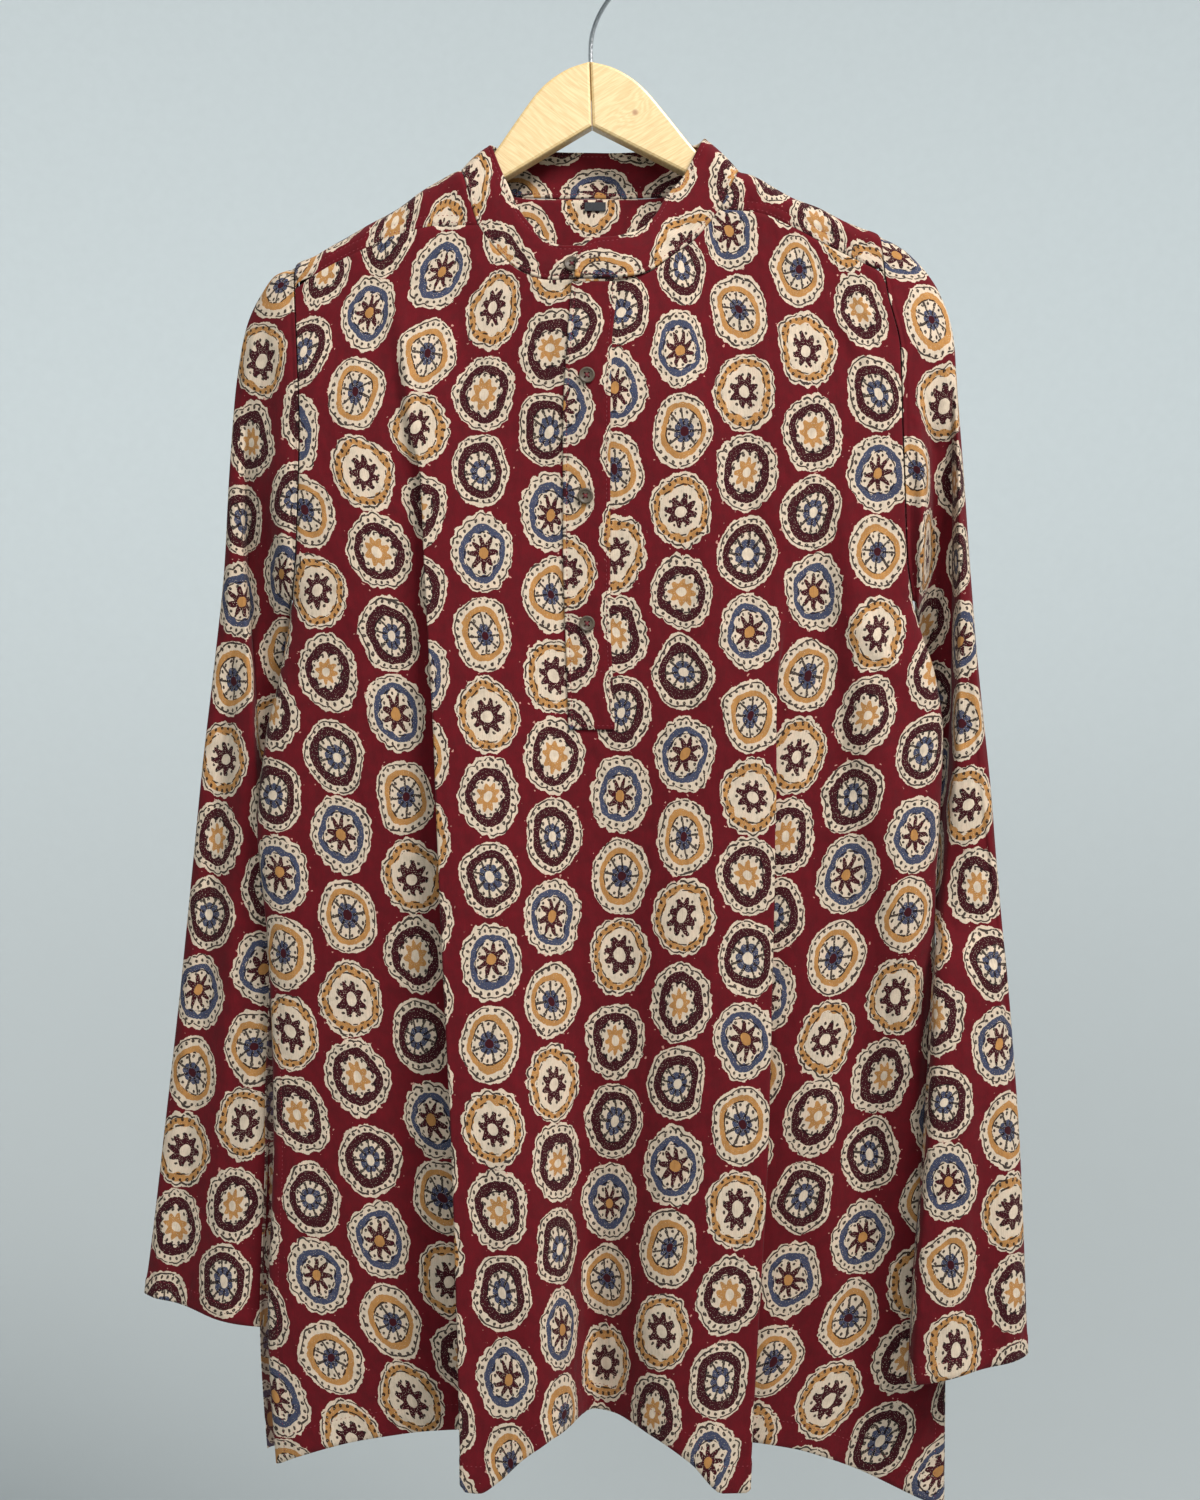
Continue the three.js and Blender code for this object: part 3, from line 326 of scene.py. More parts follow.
def across_x(s, z):
    """Where a share s of the way across the body lies at height z."""
    s, z = np.broadcast_arrays(s, np.asarray(z, float))
    xs = np.stack([lines[name](z) for name in LINE_NAMES])
    i = np.clip(np.searchsorted(LINE_PLACES, s, side="right") - 1, 0, len(LINE_NAMES) - 2)
    t = (s - LINE_PLACES[i]) / (LINE_PLACES[i + 1] - LINE_PLACES[i])
    low = np.take_along_axis(xs, i[None], 0)[0]
    high = np.take_along_axis(xs, i[None] + 1, 0)[0]
    return mix(low, high, t)


def side_half(x, z):
    """Half the gap between front and back at the side edges: armhole, seam, slit."""
    left = np.asarray(x) < 0
    down = np.where(left, ARMHOLE_TOP["left"], ARMHOLE_TOP["right"]) - z
    hole = mix(*ARMHOLE_HALVES, smooth(down / ARMHOLE_WIDENS)) * rounded(down / SHOULDER_ROUND)
    hole = hole * rounded((z - UNDERARM_Z) / UNDERARM_ROUND)
    slit = SLIT_HALF * smooth((SLIT_TOP_Z - z) / SLIT_OPENS)
    return TURNED_GAP / 2 + np.where(z > UNDERARM_Z, hole, slit)


def armhole_half(side, z):
    return side_half(np.where(side == "left", -1.0, 1.0) * np.ones_like(z), z)


def edge_distance(x, z):
    """How far inside the nearer side seam a place is."""
    return np.minimum(x - lines["left"](z), lines["right"](z) - x)


def fold_share(name, x, z):
    """How much of a front fold's depth a place has: 1 along its flat top."""
    outward, flank = FRONT_FOLDS[name]
    out = (x - lines[name](z)) * outward
    beyond = np.maximum(-out - fold_tops[name + "Top"](z), 0)
    return bump(np.where(out > 0, out / flank, beyond / fold_tops[name + "Slope"](z)))


# Small folds die out over these lengths: from the sides, under the yoke, beside the placket
CALM_SIDE, CALM_TOP, CALM_PLACKET = 14, 30, 22
WAVE_SIZE = 90  # of the small folds that no table places
# Creases listed for the front: x, z at both ends, half width, height
FRONT_CREASES = (
    (-125, -215, -112, -340, 9, 1.6),
    (-150, -230, -140, -560, 26, 2.2),
    (-165, -420, -150, -980, 24, 1.4),
    (-120, -560, -112, -1000, 16, -1.8),
    (-60, -255, -45, -560, 24, 1.2),
    (-53, -610, -42, -1010, 11, -2.5),
    (78, -300, 74, -560, 22, 1.6),
    (120, -240, 118, -520, 22, 1.8),
    (150, -300, 146, -700, 22, -2.0),
    (158, -320, 200, -680, 26, 5.0),
    (141, -320, 184, -700, 19, -2.8),
    (160, -660, 152, -1000, 20, 2.4),
    (165, -222, 192, -262, 7, 1.6),
    (150, -226, 186, -290, 8, 1.4),
    (-186, -250, -160, -232, 7, 1.2),
    (-196, -470, -150, -420, 12, 2.0),
    (212, -486, 160, -430, 13, 2.4),
    (30, -236, 84, -330, 10, 1.2),
    (-40, -236, -86, -300, 9, 1.0),
    (-30, -700, -52, -860, 9, 1.2),
    (176, -560, 168, -1040, 27, -5.5),
    (212, -540, 208, -1040, 32, 6.0),
)

# The chest under the neck stands forward: how far, its middle, half its width, and how far
# up and down it reaches
CHEST = 11
CHEST_X, CHEST_Z = 2, -225
CHEST_HALF = 95
CHEST_UP, CHEST_DOWN = 70, 190


def front_depth(x, z):
    edge = edge_distance(x, z)
    reach = np.where(z > CHEST_Z, CHEST_UP, CHEST_DOWN)
    push = CHEST * bump((x - CHEST_X) / CHEST_HALF) * bump((z - CHEST_Z) / reach)
    folds = np.maximum(
        depth["foldLeft"](z) * fold_share("foldLeft", x, z),
        depth["foldRight"](z) * fold_share("foldRight", x, z),
    )
    closed = side_half(x, z)
    return closed + (depth["front"](z) + push + folds - closed) * rounded(edge / EDGE_ROUND)


def front_loose(x, z):
    """Small folds on top of the front's main form, dying out at its edges and at the placket."""
    edge = edge_distance(x, z)
    band = np.abs(x - (lines["slotLeft"](z) + lines["slotRight"](z)) / 2)
    calm = smooth((edge - 2) / CALM_SIDE) * smooth((front_top_z(x) - z - 4) / CALM_TOP)
    beside = mix(0.15, 1, smooth((band - 14) / CALM_PLACKET))
    calm = calm * np.where(z > PLACKET_FOOT_Z - 10, beside, 1)
    low = smooth((-z - 300) / 500)
    soft = waves(x, z, 3, WAVE_SIZE) * (0.5 + 0.3 * low)
    return calm * (creases(FRONT_CREASES, x, z) + soft)


def lean_x(x, z):
    """How far the folds' crests carry a place sideways."""
    total = 0
    for name, (outward, flank) in FRONT_FOLDS.items():
        out = (x - lines[name](z)) * outward
        near = bump(np.where(out > 0, out / flank, out / LEAN_REACH))
        total = total + outward * lean[name](z) * near
    return total


def front_point(x, z, out=0.0):
    """The front's point that was at x and z before it was folded, out before its face."""
    x, z = np.broadcast_arrays(np.asarray(x, float), np.asarray(z, float))
    y = -front_depth(x, z) - front_loose(x, z) - out
    return np.stack([x + lean_x(x, z), y, z], -1)


BACK_CREASES = (
    (-100, -270, -120, -600, 20, 2.4),
    (-60, -262, -72, -520, 12, 1.6),
    (0, -262, 4, -620, 20, 2.2),
    (95, -266, 104, -640, 18, 2.4),
    (-170, -420, -160, -950, 18, 2.6),
    (90, -600, 96, -980, 16, -2.6),
    (-76, -620, -84, -970, 15, -2.4),
    (16, -560, 12, -960, 15, -2.4),
    (196, -470, 150, -380, 12, 2.0),
    (-196, -470, -150, -380, 12, 2.0),
)
BACK_FOLD_TOP = -250
BACK_FOLD_LENGTH = 740


def back_depth(x, z, loose=True):
    """y of the back, with or without its small folds."""
    edge = edge_distance(x, z)
    down = clamp01((BACK_FOLD_TOP - z) / BACK_FOLD_LENGTH)
    folds = sum(
        share * bump((x - mix(top, hem, down)) / half) for top, hem, half, share in BACK_RIDGES
    )
    closed = side_half(x, z)
    deep = depth["back"](z) + depth["backFolds"](z) * folds
    shape = closed + (deep - closed) * rounded(edge / EDGE_ROUND)
    if not loose:
        return shape
    calm = smooth((edge - 2) / CALM_SIDE) * smooth((back_seam_z(x) - z) / CALM_TOP)
    return shape + calm * (creases(BACK_CREASES, x, z) + waves(x, z, 8, WAVE_SIZE))


def row_heights(levels, top_z, hem_z, settle_top, settle_hem):
    """Heights of a panel's rows: they follow its upper edge down to settle_top, are level
    from there, and follow its hem below settle_hem."""
    near_top = clamp01((levels - settle_top) / (levels[0] - settle_top))
    near_hem = clamp01((levels - settle_hem) / (levels[-1] - settle_hem))
    return levels + (top_z - levels[0]) * near_top + (hem_z - levels[-1]) * near_hem


# ---------------------------------------------------------------- meshes from grids
def unit(vectors):
    """Vectors made 1 long; those without a length stay as they are."""
    size = np.linalg.norm(vectors, axis=-1, keepdims=True)
    return vectors / np.where(size > 1e-12, size, 1)


def lengths(grid, axis):
    """Running length along an axis of a grid of points."""
    step = np.linalg.norm(np.diff(grid, axis=axis), axis=-1)
    pad = [(0, 0), (0, 0)]
    pad[axis] = (1, 0)
    return np.cumsum(np.pad(step, pad), axis=axis)


def corners(grid, wrap):
    """The values at each cell's corners: the upper two, then the lower two."""
    after = np.roll(grid, -1, 1) if wrap else grid[:, 1:]
    before = grid if wrap else grid[:, :-1]
    return before[:-1], after[:-1], before[1:], after[1:]


def whole(grid, wrap=False):
    """Which of a grid's cells are kept: all of them."""
    return np.ones((grid.shape[0] - 1, grid.shape[1] - (0 if wrap else 1)), bool)


def grid_frame(grid, keep, wrap):
    """Normals, and directions out of the kept cloth at its edges, for every grid point."""
    a, b, c, d = corners(grid, wrap)
    cell = np.cross(d - a, b - c) * 0.5
    cell[~keep] = 0
    middle = (a + b + c + d) / 4
    normal = np.zeros_like(grid)
    out = np.zeros_like(grid)
    rows, columns = (np.arange(size) for size in keep.shape)
    for down in (0, 1):
        for along in (0, 1):
            at = (rows + down)[:, None], (columns + along)[None] % grid.shape[1]
            normal[at] += cell
            out[at] += np.where(keep[..., None], grid[at] - middle, 0)
    normal = unit(normal)
    out -= normal * (out * normal).sum(-1, keepdims=True)
    return normal, unit(out)


def make_mesh(name, points, faces, uv=None, reverse=None):
    """A smooth object from points in millimetres and a list of face arrays."""
    mesh = bpy.data.meshes.new(name)
    points = np.asarray(points, float) * MM
    sizes = np.concatenate([np.full(len(f), f.shape[1]) for f in faces])
    loops = np.concatenate([f.ravel() for f in faces])
    mesh.vertices.add(len(points))
    mesh.vertices.foreach_set("co", points.ravel())
    mesh.loops.add(len(loops))
    mesh.loops.foreach_set("vertex_index", loops.astype(np.int32))
    mesh.polygons.add(len(sizes))
    starts = np.concatenate(([0], np.cumsum(sizes)[:-1]))
    mesh.polygons.foreach_set("loop_start", starts.astype(np.int32))
    if uv is not None:
        layer = mesh.uv_layers.new(name="print")
        layer.data.foreach_set("uv", (uv[loops] * MM).astype(np.float32).ravel())
    if reverse is not None:
        attribute = mesh.attributes.new("reverse", "FLOAT", "POINT")
        attribute.data.foreach_set("value", reverse.astype(np.float32))
    mesh.update(calc_edges=True)
    mesh.validate()
    mesh.polygons.foreach_set("use_smooth", np.ones(len(mesh.polygons), bool))
    piece = bpy.data.objects.new(name, mesh)
    scene.collection.objects.link(piece)
    return piece


# Thickness of the cloth, and how far its edges bulge, as a share of the thickness
CLOTH = 0.7
EDGE_BULGE = 0.9
# The two faces of a wall of cloth: the one its normals point out of, and the other
OUTER, INNER = 0, 1


def cloth(name, grid, uv, profile=0, keep=None, thickness=CLOTH, wrap=False, wrong=INNER):
    """A closed wall of cloth with rounded edges on a grid of points, which it first moves
    along their normals by profile; gives the piece, the moved grid and its normals."""
    keep = whole(grid, wrap) if keep is None else keep
    grid = grid + grid_frame(grid, keep, wrap)[0] * np.asarray(profile)[..., None]
    normal, out = grid_frame(grid, keep, wrap)
    half = thickness / 2
    count = grid.shape[0] * grid.shape[1]
    layers = [grid + normal * half, grid - normal * half, grid + out * half * EDGE_BULGE]
    a, b, c, d = corners(np.arange(count).reshape(grid.shape[:2]), wrap)
    quad = np.stack([a, c, d, b], -1)[keep]
    faces = [quad, quad[:, ::-1] + count]
    padded = np.pad(keep, 1, mode="constant")
    if wrap:
        padded[1:-1, 0], padded[1:-1, -1] = keep[:, -1], keep[:, 0]
    sides = (
        (b, a, padded[:-2, 1:-1]), (c, d, padded[2:, 1:-1]),
        (a, c, padded[1:-1, :-2]), (d, b, padded[1:-1, 2:]),
    )
    for start, end, beyond in sides:
        edge = keep & ~beyond
        s, e = start[edge], end[edge]
        faces.append(np.stack([e, s, s + 2 * count, e + 2 * count], -1))
        faces.append(np.stack([e + 2 * count, s + 2 * count, s + count, e + count], -1))
    used = np.unique(np.concatenate([f.ravel() for f in faces]))
    renumber = np.full(3 * count, -1)
    renumber[used] = np.arange(len(used))
    points = np.concatenate([layer.reshape(-1, 3) for layer in layers])
    reverse = np.zeros((3, count))
    if wrong is not None:
        reverse[wrong] = 1
    piece = make_mesh(
        name, points[used], [renumber[f] for f in faces],
        np.tile(uv.reshape(-1, 2), (3, 1))[used], reverse.ravel()[used],
    )
    a, b, c, d = corners(grid, wrap)
    cells = 0.5 * np.linalg.norm(np.cross(d - a, b - c), axis=-1)
    piece["area"] = float(cells[keep].sum())
    return piece, grid, normal


# A turned hem: how much thicker it is, the groove of its stitches and the pucker along them
HEM_THICK, HEM_GROOVE, HEM_PUCKER = 0.45, 0.35, 0.28


def puckers(run, pitch, stray, over):
    """Uneven waves along a sewn edge: their pitch strays by so much over such a length."""
    return np.sin(run * TURN / pitch + stray * np.sin(run / over))


def hem_profile(distance, width, arc):
    """How far a hem stands out at a distance from its edge, and so far along it."""
    edge = HEM_THICK * smooth((width + 1.2 - distance) / 2.4)
    dip = -HEM_GROOVE * bump((distance - width) / 1.6)
    pucker = HEM_PUCKER * puckers(arc, 8.5, 1.7, 31)
    return edge + dip + pucker * bump((distance - width) / 9)


def row_dips(u, v, rows, half):
    """Dents along rows of stitches: each row is its inset from a sheet's first edge, or from
    its last if negative, along v (axis 0) or u (axis 1)."""
    dips = 0
    for inset, axis in rows:
        run = (v, u)[axis]
        start = 0 if inset > 0 else np.take(run, [-1], axis)
        dips = dips + bump((run - start - inset) / half)
    return dips


def lathe(profile, count):
    """Points and faces of a profile of radii and heights turned about the upright axis. The
    first row is the middle of its foot; a last row without a radius closes its top."""
    turn = np.linspace(0, TURN, count, endpoint=False)
    closed = profile[-1][0] == 0
    rings = profile[1:-1] if closed else profile[1:]
    spun = [np.stack([np.cos(turn) * r, np.sin(turn) * r, np.full(count, h)], -1) for r, h in rings]
    index = 1 + np.arange(len(rings) * count).reshape(-1, count)
    after = np.roll(index, -1, 1)
    quads = np.stack([index[:-1], after[:-1], after[1:], index[1:]], -1).reshape(-1, 4)
    faces = [quads, np.stack([np.zeros(count, int), after[0], index[0]], -1)]
    if closed:
        spun.append([(0, 0, profile[-1][1])])
        faces.append(np.stack([np.full(count, index[-1, -1] + 1), index[-1], after[-1]], -1))
    return np.concatenate([[(0, 0, profile[0][1])], *spun]), faces


# ---------------------------------------------------------------- stitches
class Thread:
    """The points and faces of all the stitches sewn in one colour."""

    def __init__(self):
        self.points = []
        self.faces = []
        self.caps = []


seam_thread = Thread()
buttonhole_thread = Thread()
STITCH = 2.1
STITCH_GAP = 0.8
STITCH_LIFT = 0.15
STITCH_RING = 5
# At four stations along a stitch: its radius, and how far it stands over its lift
STITCH_GIRTH = 0.26 * np.array([0.45, 1, 1, 0.45])
STITCH_RISE = np.array([-0.22, 0.12, 0.12, -0.22])


def stitches(path, normals, lift=STITCH_LIFT, into=seam_thread):
    """Thread dashes along a path of points, half sunk in the cloth."""
    run = np.concatenate(([0], np.cumsum(np.linalg.norm(np.diff(path, axis=0), axis=1))))
    at = np.arange(0.5, run[-1] - STITCH, STITCH + STITCH_GAP)
    if not len(at):
        return
    stations = at[:, None] + np.linspace(0, STITCH, len(STITCH_RISE))[None]
    read = lambda values: np.stack([np.interp(stations, run, values[:, k]) for k in range(3)], -1)
    centre, up = read(path), unit(read(normals))
    side = np.cross(up, unit(np.gradient(centre, axis=1)))
    centre = centre + up * (lift + STITCH_RISE)[None, :, None]
    turn = np.linspace(0, TURN, STITCH_RING, endpoint=False)
    ring = (
        centre[:, :, None]
        + side[:, :, None] * (np.cos(turn) * STITCH_GIRTH[:, None])[None, :, :, None]
        + up[:, :, None] * (np.sin(turn) * STITCH_GIRTH[:, None])[None, :, :, None]
    )
    index = np.arange(ring.size // 3).reshape(ring.shape[:3]) + sum(len(p) for p in into.points)
    a, b = index[:, :-1], index[:, 1:]
    into.points.append(ring.reshape(-1, 3))
    into.faces.append(np.stack([a, np.roll(a, -1, 2), np.roll(b, -1, 2), b], -1).reshape(-1, 4))
    into.caps += [index[:, 0, ::-1], index[:, -1]]


def sew(grid, normal, run, inset, axis, part=slice(None), faces=(1,), lift=STITCH_LIFT):
    """Stitches along the line at an inset from a grid's first edge, from its last if negative.
    run tells how far each point is along the axis; faces, the sides of the cloth."""
    if inset < 0:
        run = run - np.take(run, [-1], axis)
    run, points, normals = (np.moveaxis(values, axis, 0) for values in (run, grid, normal))
    i = np.clip((run < inset).sum(0) - 1, 0, run.shape[0] - 2)
    j = np.arange(run.shape[1])
    t = clamp01((inset - run[i, j]) / np.maximum(run[i + 1, j] - run[i, j], 1e-9))[:, None]
    line, up = (mix(values[i, j], values[i + 1, j], t)[part] for values in (points, normals))
    for face in faces:
        stitches(line, face * up, lift)


def sew_rows(grid, normal, u, v, rows, **how):
    for inset, axis in rows:
        sew(grid, normal, (v, u)[axis], inset, axis, **how)


# ---------------------------------------------------------------- materials
def operation(kind):
    return lambda value, *others: value.math(kind, *others)


class Value:
    """A shader node's output that adds, multiplies and compares as a number does."""

    def __init__(self, wire, socket):
        self.wire = wire
        self.socket = socket

    def math(self, kind, *others):
        return self.wire.value("Math", (self, *others), operation=kind)

    __add__, __sub__, __mul__ = map(operation, ("ADD", "SUBTRACT", "MULTIPLY"))
    __truediv__, __mod__, __abs__ = map(operation, ("DIVIDE", "FLOORED_MODULO", "ABSOLUTE"))
    __lt__, __gt__, __or__ = map(operation, ("LESS_THAN", "GREATER_THAN", "MAXIMUM"))
    sine, cosine, floor, fraction = map(operation, ("SINE", "COSINE", "FLOOR", "FRACT"))
    root, times_plus = map(operation, ("SQRT", "MULTIPLY_ADD"))


class Wire:
    """Short words for building a material's shader nodes."""

    def __init__(self, name):
        self.material = bpy.data.materials.new(name)
        self.material.use_nodes = True
        self.tree = self.material.node_tree
        self.shader = self.tree.nodes["Principled BSDF"]

    def put(self, socket, value):
        if isinstance(value, Value):
            self.tree.links.new(value.socket, socket)
        elif hasattr(socket.default_value, "__len__"):
            wide = len(socket.default_value)
            value = value if hasattr(value, "__len__") else (value,) * wide
            socket.default_value = (*value, 1)[:wide]
        else:
            socket.default_value = value

    def node(self, kind, inputs=(), **settings):
        node = self.tree.nodes.new("ShaderNode" + kind)
        for key, value in settings.items():
            setattr(node, key, value)
        for key, value in inputs.items() if isinstance(inputs, dict) else enumerate(inputs):
            self.put(node.inputs[key], value)
        return node

    def value(self, kind, inputs=(), output=0, **settings):
        return Value(self, self.node(kind, inputs, **settings).outputs[output])

    def place(self):
        return self.value("NewGeometry", output="Position")

    def turned(self, vector, degrees, axis):
        angle = math.radians(degrees)
        return self.value("VectorRotate", {"Vector": vector, "Angle": angle}, rotation_type=axis)

    def vector(self, kind, a, b):
        return self.value("VectorMath", {0: a, 3 if kind == "SCALE" else 1: b}, operation=kind)

    def split(self, vector, kind="XYZ"):
        return [Value(self, socket) for socket in self.node("Separate" + kind, (vector,)).outputs]

    def mix(self, share, a, b, blend="MIX"):
        return self.value("Mix", {0: share, 6: a, 7: b}, 2, data_type="RGBA", blend_type=blend)

    def range(self, value, low, high, to_low=0.0, to_high=1.0, kind="LINEAR"):
        return self.value("MapRange", (value, low, high, to_low, to_high), interpolation_type=kind)

    def noise(self, over, scale, detail=2.0, rough=0.5, dimensions="3D", output="Fac"):
        inputs = {"Vector": over, "Scale": scale, "Detail": detail, "Roughness": rough}
        return self.value("TexNoise", inputs, output, noise_dimensions=dimensions)

    def steps(self, value, colours):
        """One of several colours, by a value from 0 to 1 cut into equal steps."""
        node = self.node("ValToRGB", (value,))
        node.color_ramp.interpolation = "CONSTANT"
        points = node.color_ramp.elements
        while len(points) < len(colours):
            points.new(1)
        for i, colour in enumerate(colours):
            points[i].position = i / len(colours)
            points[i].color = (*colour, 1)
        return Value(self, node.outputs[0])

    def fix(self, values):
        for name, value in values.items():
            self.shader.inputs[name].default_value = value

    def surface(self, colour, rough, height, strength, distance):
        """Ends a material with its colour, its roughness and a relief over it."""
        relief = {"Strength": strength, "Distance": distance, "Height": height}
        self.put(self.shader.inputs["Base Color"], colour)
        self.put(self.shader.inputs["Roughness"], rough)
        self.put(self.shader.inputs["Normal"], self.value("Bump", relief))
        return self.material


def srgb(*colour):
    shares = [c / 255 for c in colour]
    return tuple(c / 12.92 if c <= 0.04045 else ((c + 0.055) / 1.055) ** 2.4 for c in shares)


MADDER = srgb(95, 16, 24)
CREAM = srgb(212, 193, 170)
MUSTARD = srgb(176, 126, 72)
INDIGO = srgb(62, 69, 90)
MAROON = srgb(56, 15, 21)
INK = srgb(20, 14, 16)

# The repeat's cell, and the radius of a roundel in it
CELL_X = 42.5
CELL_Y = 52.0
ROUNDEL = 20.2
LOBES = 8.0
# Each roundel's colours of band, figure and heart; its band's inner and outer radius and
# its figure's; then whether it has petals or spokes, and how far the figure's lobes swing
ROUNDELS = (
    (MAROON, INDIGO, CREAM, 10.8, 15.8, 7.0, 0, 1, 0.05),
    (MUSTARD, MAROON, CREAM, 14.6, 18.4, 8.6, 1, 0, 0.22),
    (INDIGO, MAROON, MUSTARD, 11.6, 15.6, 7.4, 1, 0, 0.34),
    (MAROON, MUSTARD, CREAM, 10.9, 16.0, 7.0, 1, 0, 0.2),
    (MUSTARD, INDIGO, MAROON, 11.4, 15.0, 6.2, 0, 1, 0.05),
)
LARGEST = 25.0  # no radius reaches it, so that radii pass through a colour as shares of it
# The rings of dots in every roundel: radius, how many, and a dot's radius
DOT_RINGS = ((17.5, 24.0, 1.0), (9.7, 14.0, 0.9))
# Distances between yarns, across and along
WARP = 0.36
WEFT = 0.4


def print_material(name, turn, shift):
    """Hand block print on cotton, drawn over the cloth's own flat coordinates."""
    w = Wire(name)
    flat = w.vector("SCALE", w.value("UVMap", uv_map="print"), 1000.0)
    flat = w.vector("ADD", w.turned(flat, turn, "Z_AXIS"), (*shift, 0))

    def grain(scale, detail, rough, over=flat, output="Fac"):
        return w.noise(over, scale, detail, rough, "2D", output)

    # blocks are cut by hand: everything wobbles a little, and the ink spreads
    hand = flat
    for scale, detail, rough, reach in ((0.05, 0, 0.5, 5.0), (0.38, 1, 0.6, 0.8)):
        stray = w.vector("SUBTRACT", grain(scale, detail, rough, output="Color"), (0.5, 0.5, 0.5))
        hand = w.vector("ADD", hand, w.vector("SCALE", stray, reach))
    x, y, _ = w.split(hand)
    column = (x / CELL_X).floor()
    lifted = (column % 2.0).times_plus(CELL_Y / 2, y)
    row = (lifted / CELL_Y).floor()
    cell = w.value("CombineXYZ", (column, row, 0.0))
    chance = w.value("TexWhiteNoise", {"Vector": cell}, "Color", noise_dimensions="2D")
    chance = w.split(chance, "Color")
    fx = (chance[0] - 0.5).times_plus(2.4, x - (column + 0.5) * CELL_X) * 1.07
    fy = (chance[1] - 0.5).times_plus(3.4, lifted - (row + 0.5) * CELL_Y) * 0.85
    radius = (fx * fx + fy * fy).root()
    angle = fy.math("ARCTAN2", fx) + chance[2] * 1.2
    kinds = float(len(ROUNDELS))
    kind = (row.times_plus(3.0, column * 2.0) % kinds + 0.5) / kinds
    band_colour, figure_colour, heart_colour = (
        w.steps(kind, [roundel[k] for roundel in ROUNDELS]) for k in range(3)
    )
    sizes = w.steps(kind, [[size / LARGEST for size in roundel[3:6]] for roundel in ROUNDELS])
    inner, outer, figure = (size * LARGEST for size in w.split(sizes, "Color"))
    petals, spokes, swing = w.split(w.steps(kind, [roundel[6:] for roundel in ROUNDELS]), "Color")
    lobes = (angle * LOBES).cosine()
    blank = grain(0.27, 2, 0.5)
    slip = grain(0.11, 0, 0.5) - 0.5
    edge = radius - (abs(lobes) * petals).times_plus(1.1, ROUNDEL - 0.8)
    inside = edge < (blank - 0.5).times_plus(2.6, 1.2)
    rough = (blank - 0.5).times_plus(1.3, radius)
    band = (rough > inner - lobes * petals) * (rough < outer)
    motif = rough < figure * lobes.times_plus(swing, 1.0)
    heart = radius < figure * 0.42

    def round_part(count):
        """How far along its circle a place is from the middle of one of count parts."""
        return (angle * (count / TURN)).fraction() - 0.5

    spoke = abs(round_part(LOBES)) * (radius * (TURN / LOBES)) < 0.7
    spoke = spoke * (radius > figure * 0.5) * (radius < inner) * spokes
    mottle = grain(0.13, 2, 0.6)
    soak = grain(1.4, 1, 0.6)
    inked = soak > 0.3
    cream = w.mix(w.range(mottle, 0.48, 0.66, 0.0, 0.22), CREAM, srgb(186, 150, 128))
    colour = w.mix(inside, MADDER, cream)
    colour = w.mix(band * (soak > 0.27), colour, band_colour)
    colour = w.mix(motif * inked, colour, figure_colour)
    colour = w.mix(heart, colour, heart_colour)
    dark = spoke * inked
    for at, count, dot in DOT_RINGS:
        side = round_part(count) * (radius * (TURN / count))
        off = radius - at
        dark = dark | (side * side + off * off < dot * dot) * inked
    dark = dark | (abs(slip.times_plus(3.0, edge) + 0.4) < 0.48) * (blank > 0.38)
    dark = dark | (abs(radius - inner) < 0.42) * (blank > 0.46)
    colour = w.mix(dark * 0.93, colour, INK)
    # flecks of bare cloth round the roundels
    fleck = (blank > 0.74) * (edge < 4.0) * (edge > 0.8)
    colour = w.mix(fleck, colour, srgb(196, 140, 126))
    shade = w.range(mottle, 0.3, 0.7, 0.86, 1.1) + w.range(soak, 0.3, 0.7, -0.05, 0.05)
    colour = w.mix(1.0, colour, w.value("CombineColor", (shade, shade, shade)), "MULTIPLY")
    # the wrong side is paler, as the ink doesn't go all the way through
    wrong = w.value("Attribute", output="Fac", attribute_name="reverse")
    colour = w.mix(wrong * 0.22, colour, srgb(150, 96, 92))
    # plain weave, its yarns uneven in thickness
    wx, wy, _ = w.split(flat)
    weave = ((wx * (TURN / WARP)).sine() * (wy * (TURN / WEFT)).sine() + 1.0) * 0.5
    slub = grain(1.0, 0, 0.5, w.vector("MULTIPLY", flat, (2.2, 0.12, 1)))
    colour = w.mix(w.range(slub, 0.35, 0.7, 0.0, 0.14), colour, srgb(70, 24, 30))
    colour = w.mix(weave * 0.1, colour, srgb(50, 20, 24))
    crumple = grain(0.055, 2, 0.6, w.vector("MULTIPLY", flat, (1, 0.5, 1)))
    relief = slub.times_plus(0.04, crumple.times_plus(3.4, weave * 0.045))
    w.fix({"Sheen Weight": 0.05, "Sheen Roughness": 0.5, "Specular IOR Level": 0.12})
    return w.surface(colour, w.range(mottle, 0.3, 0.7, 0.84, 0.95), relief, 0.6, MM)


def thread_material(name, low, high):
    w = Wire(name)
    place = w.place()
    tone = w.mix(w.noise(place, 900), low, high)
    rough = w.range(w.noise(place, 2500, 1), 0.3, 0.7, 0.6, 0.8)
    return w.surface(tone, rough, w.noise(place, 4000, 1), 0.5, 0.0001)


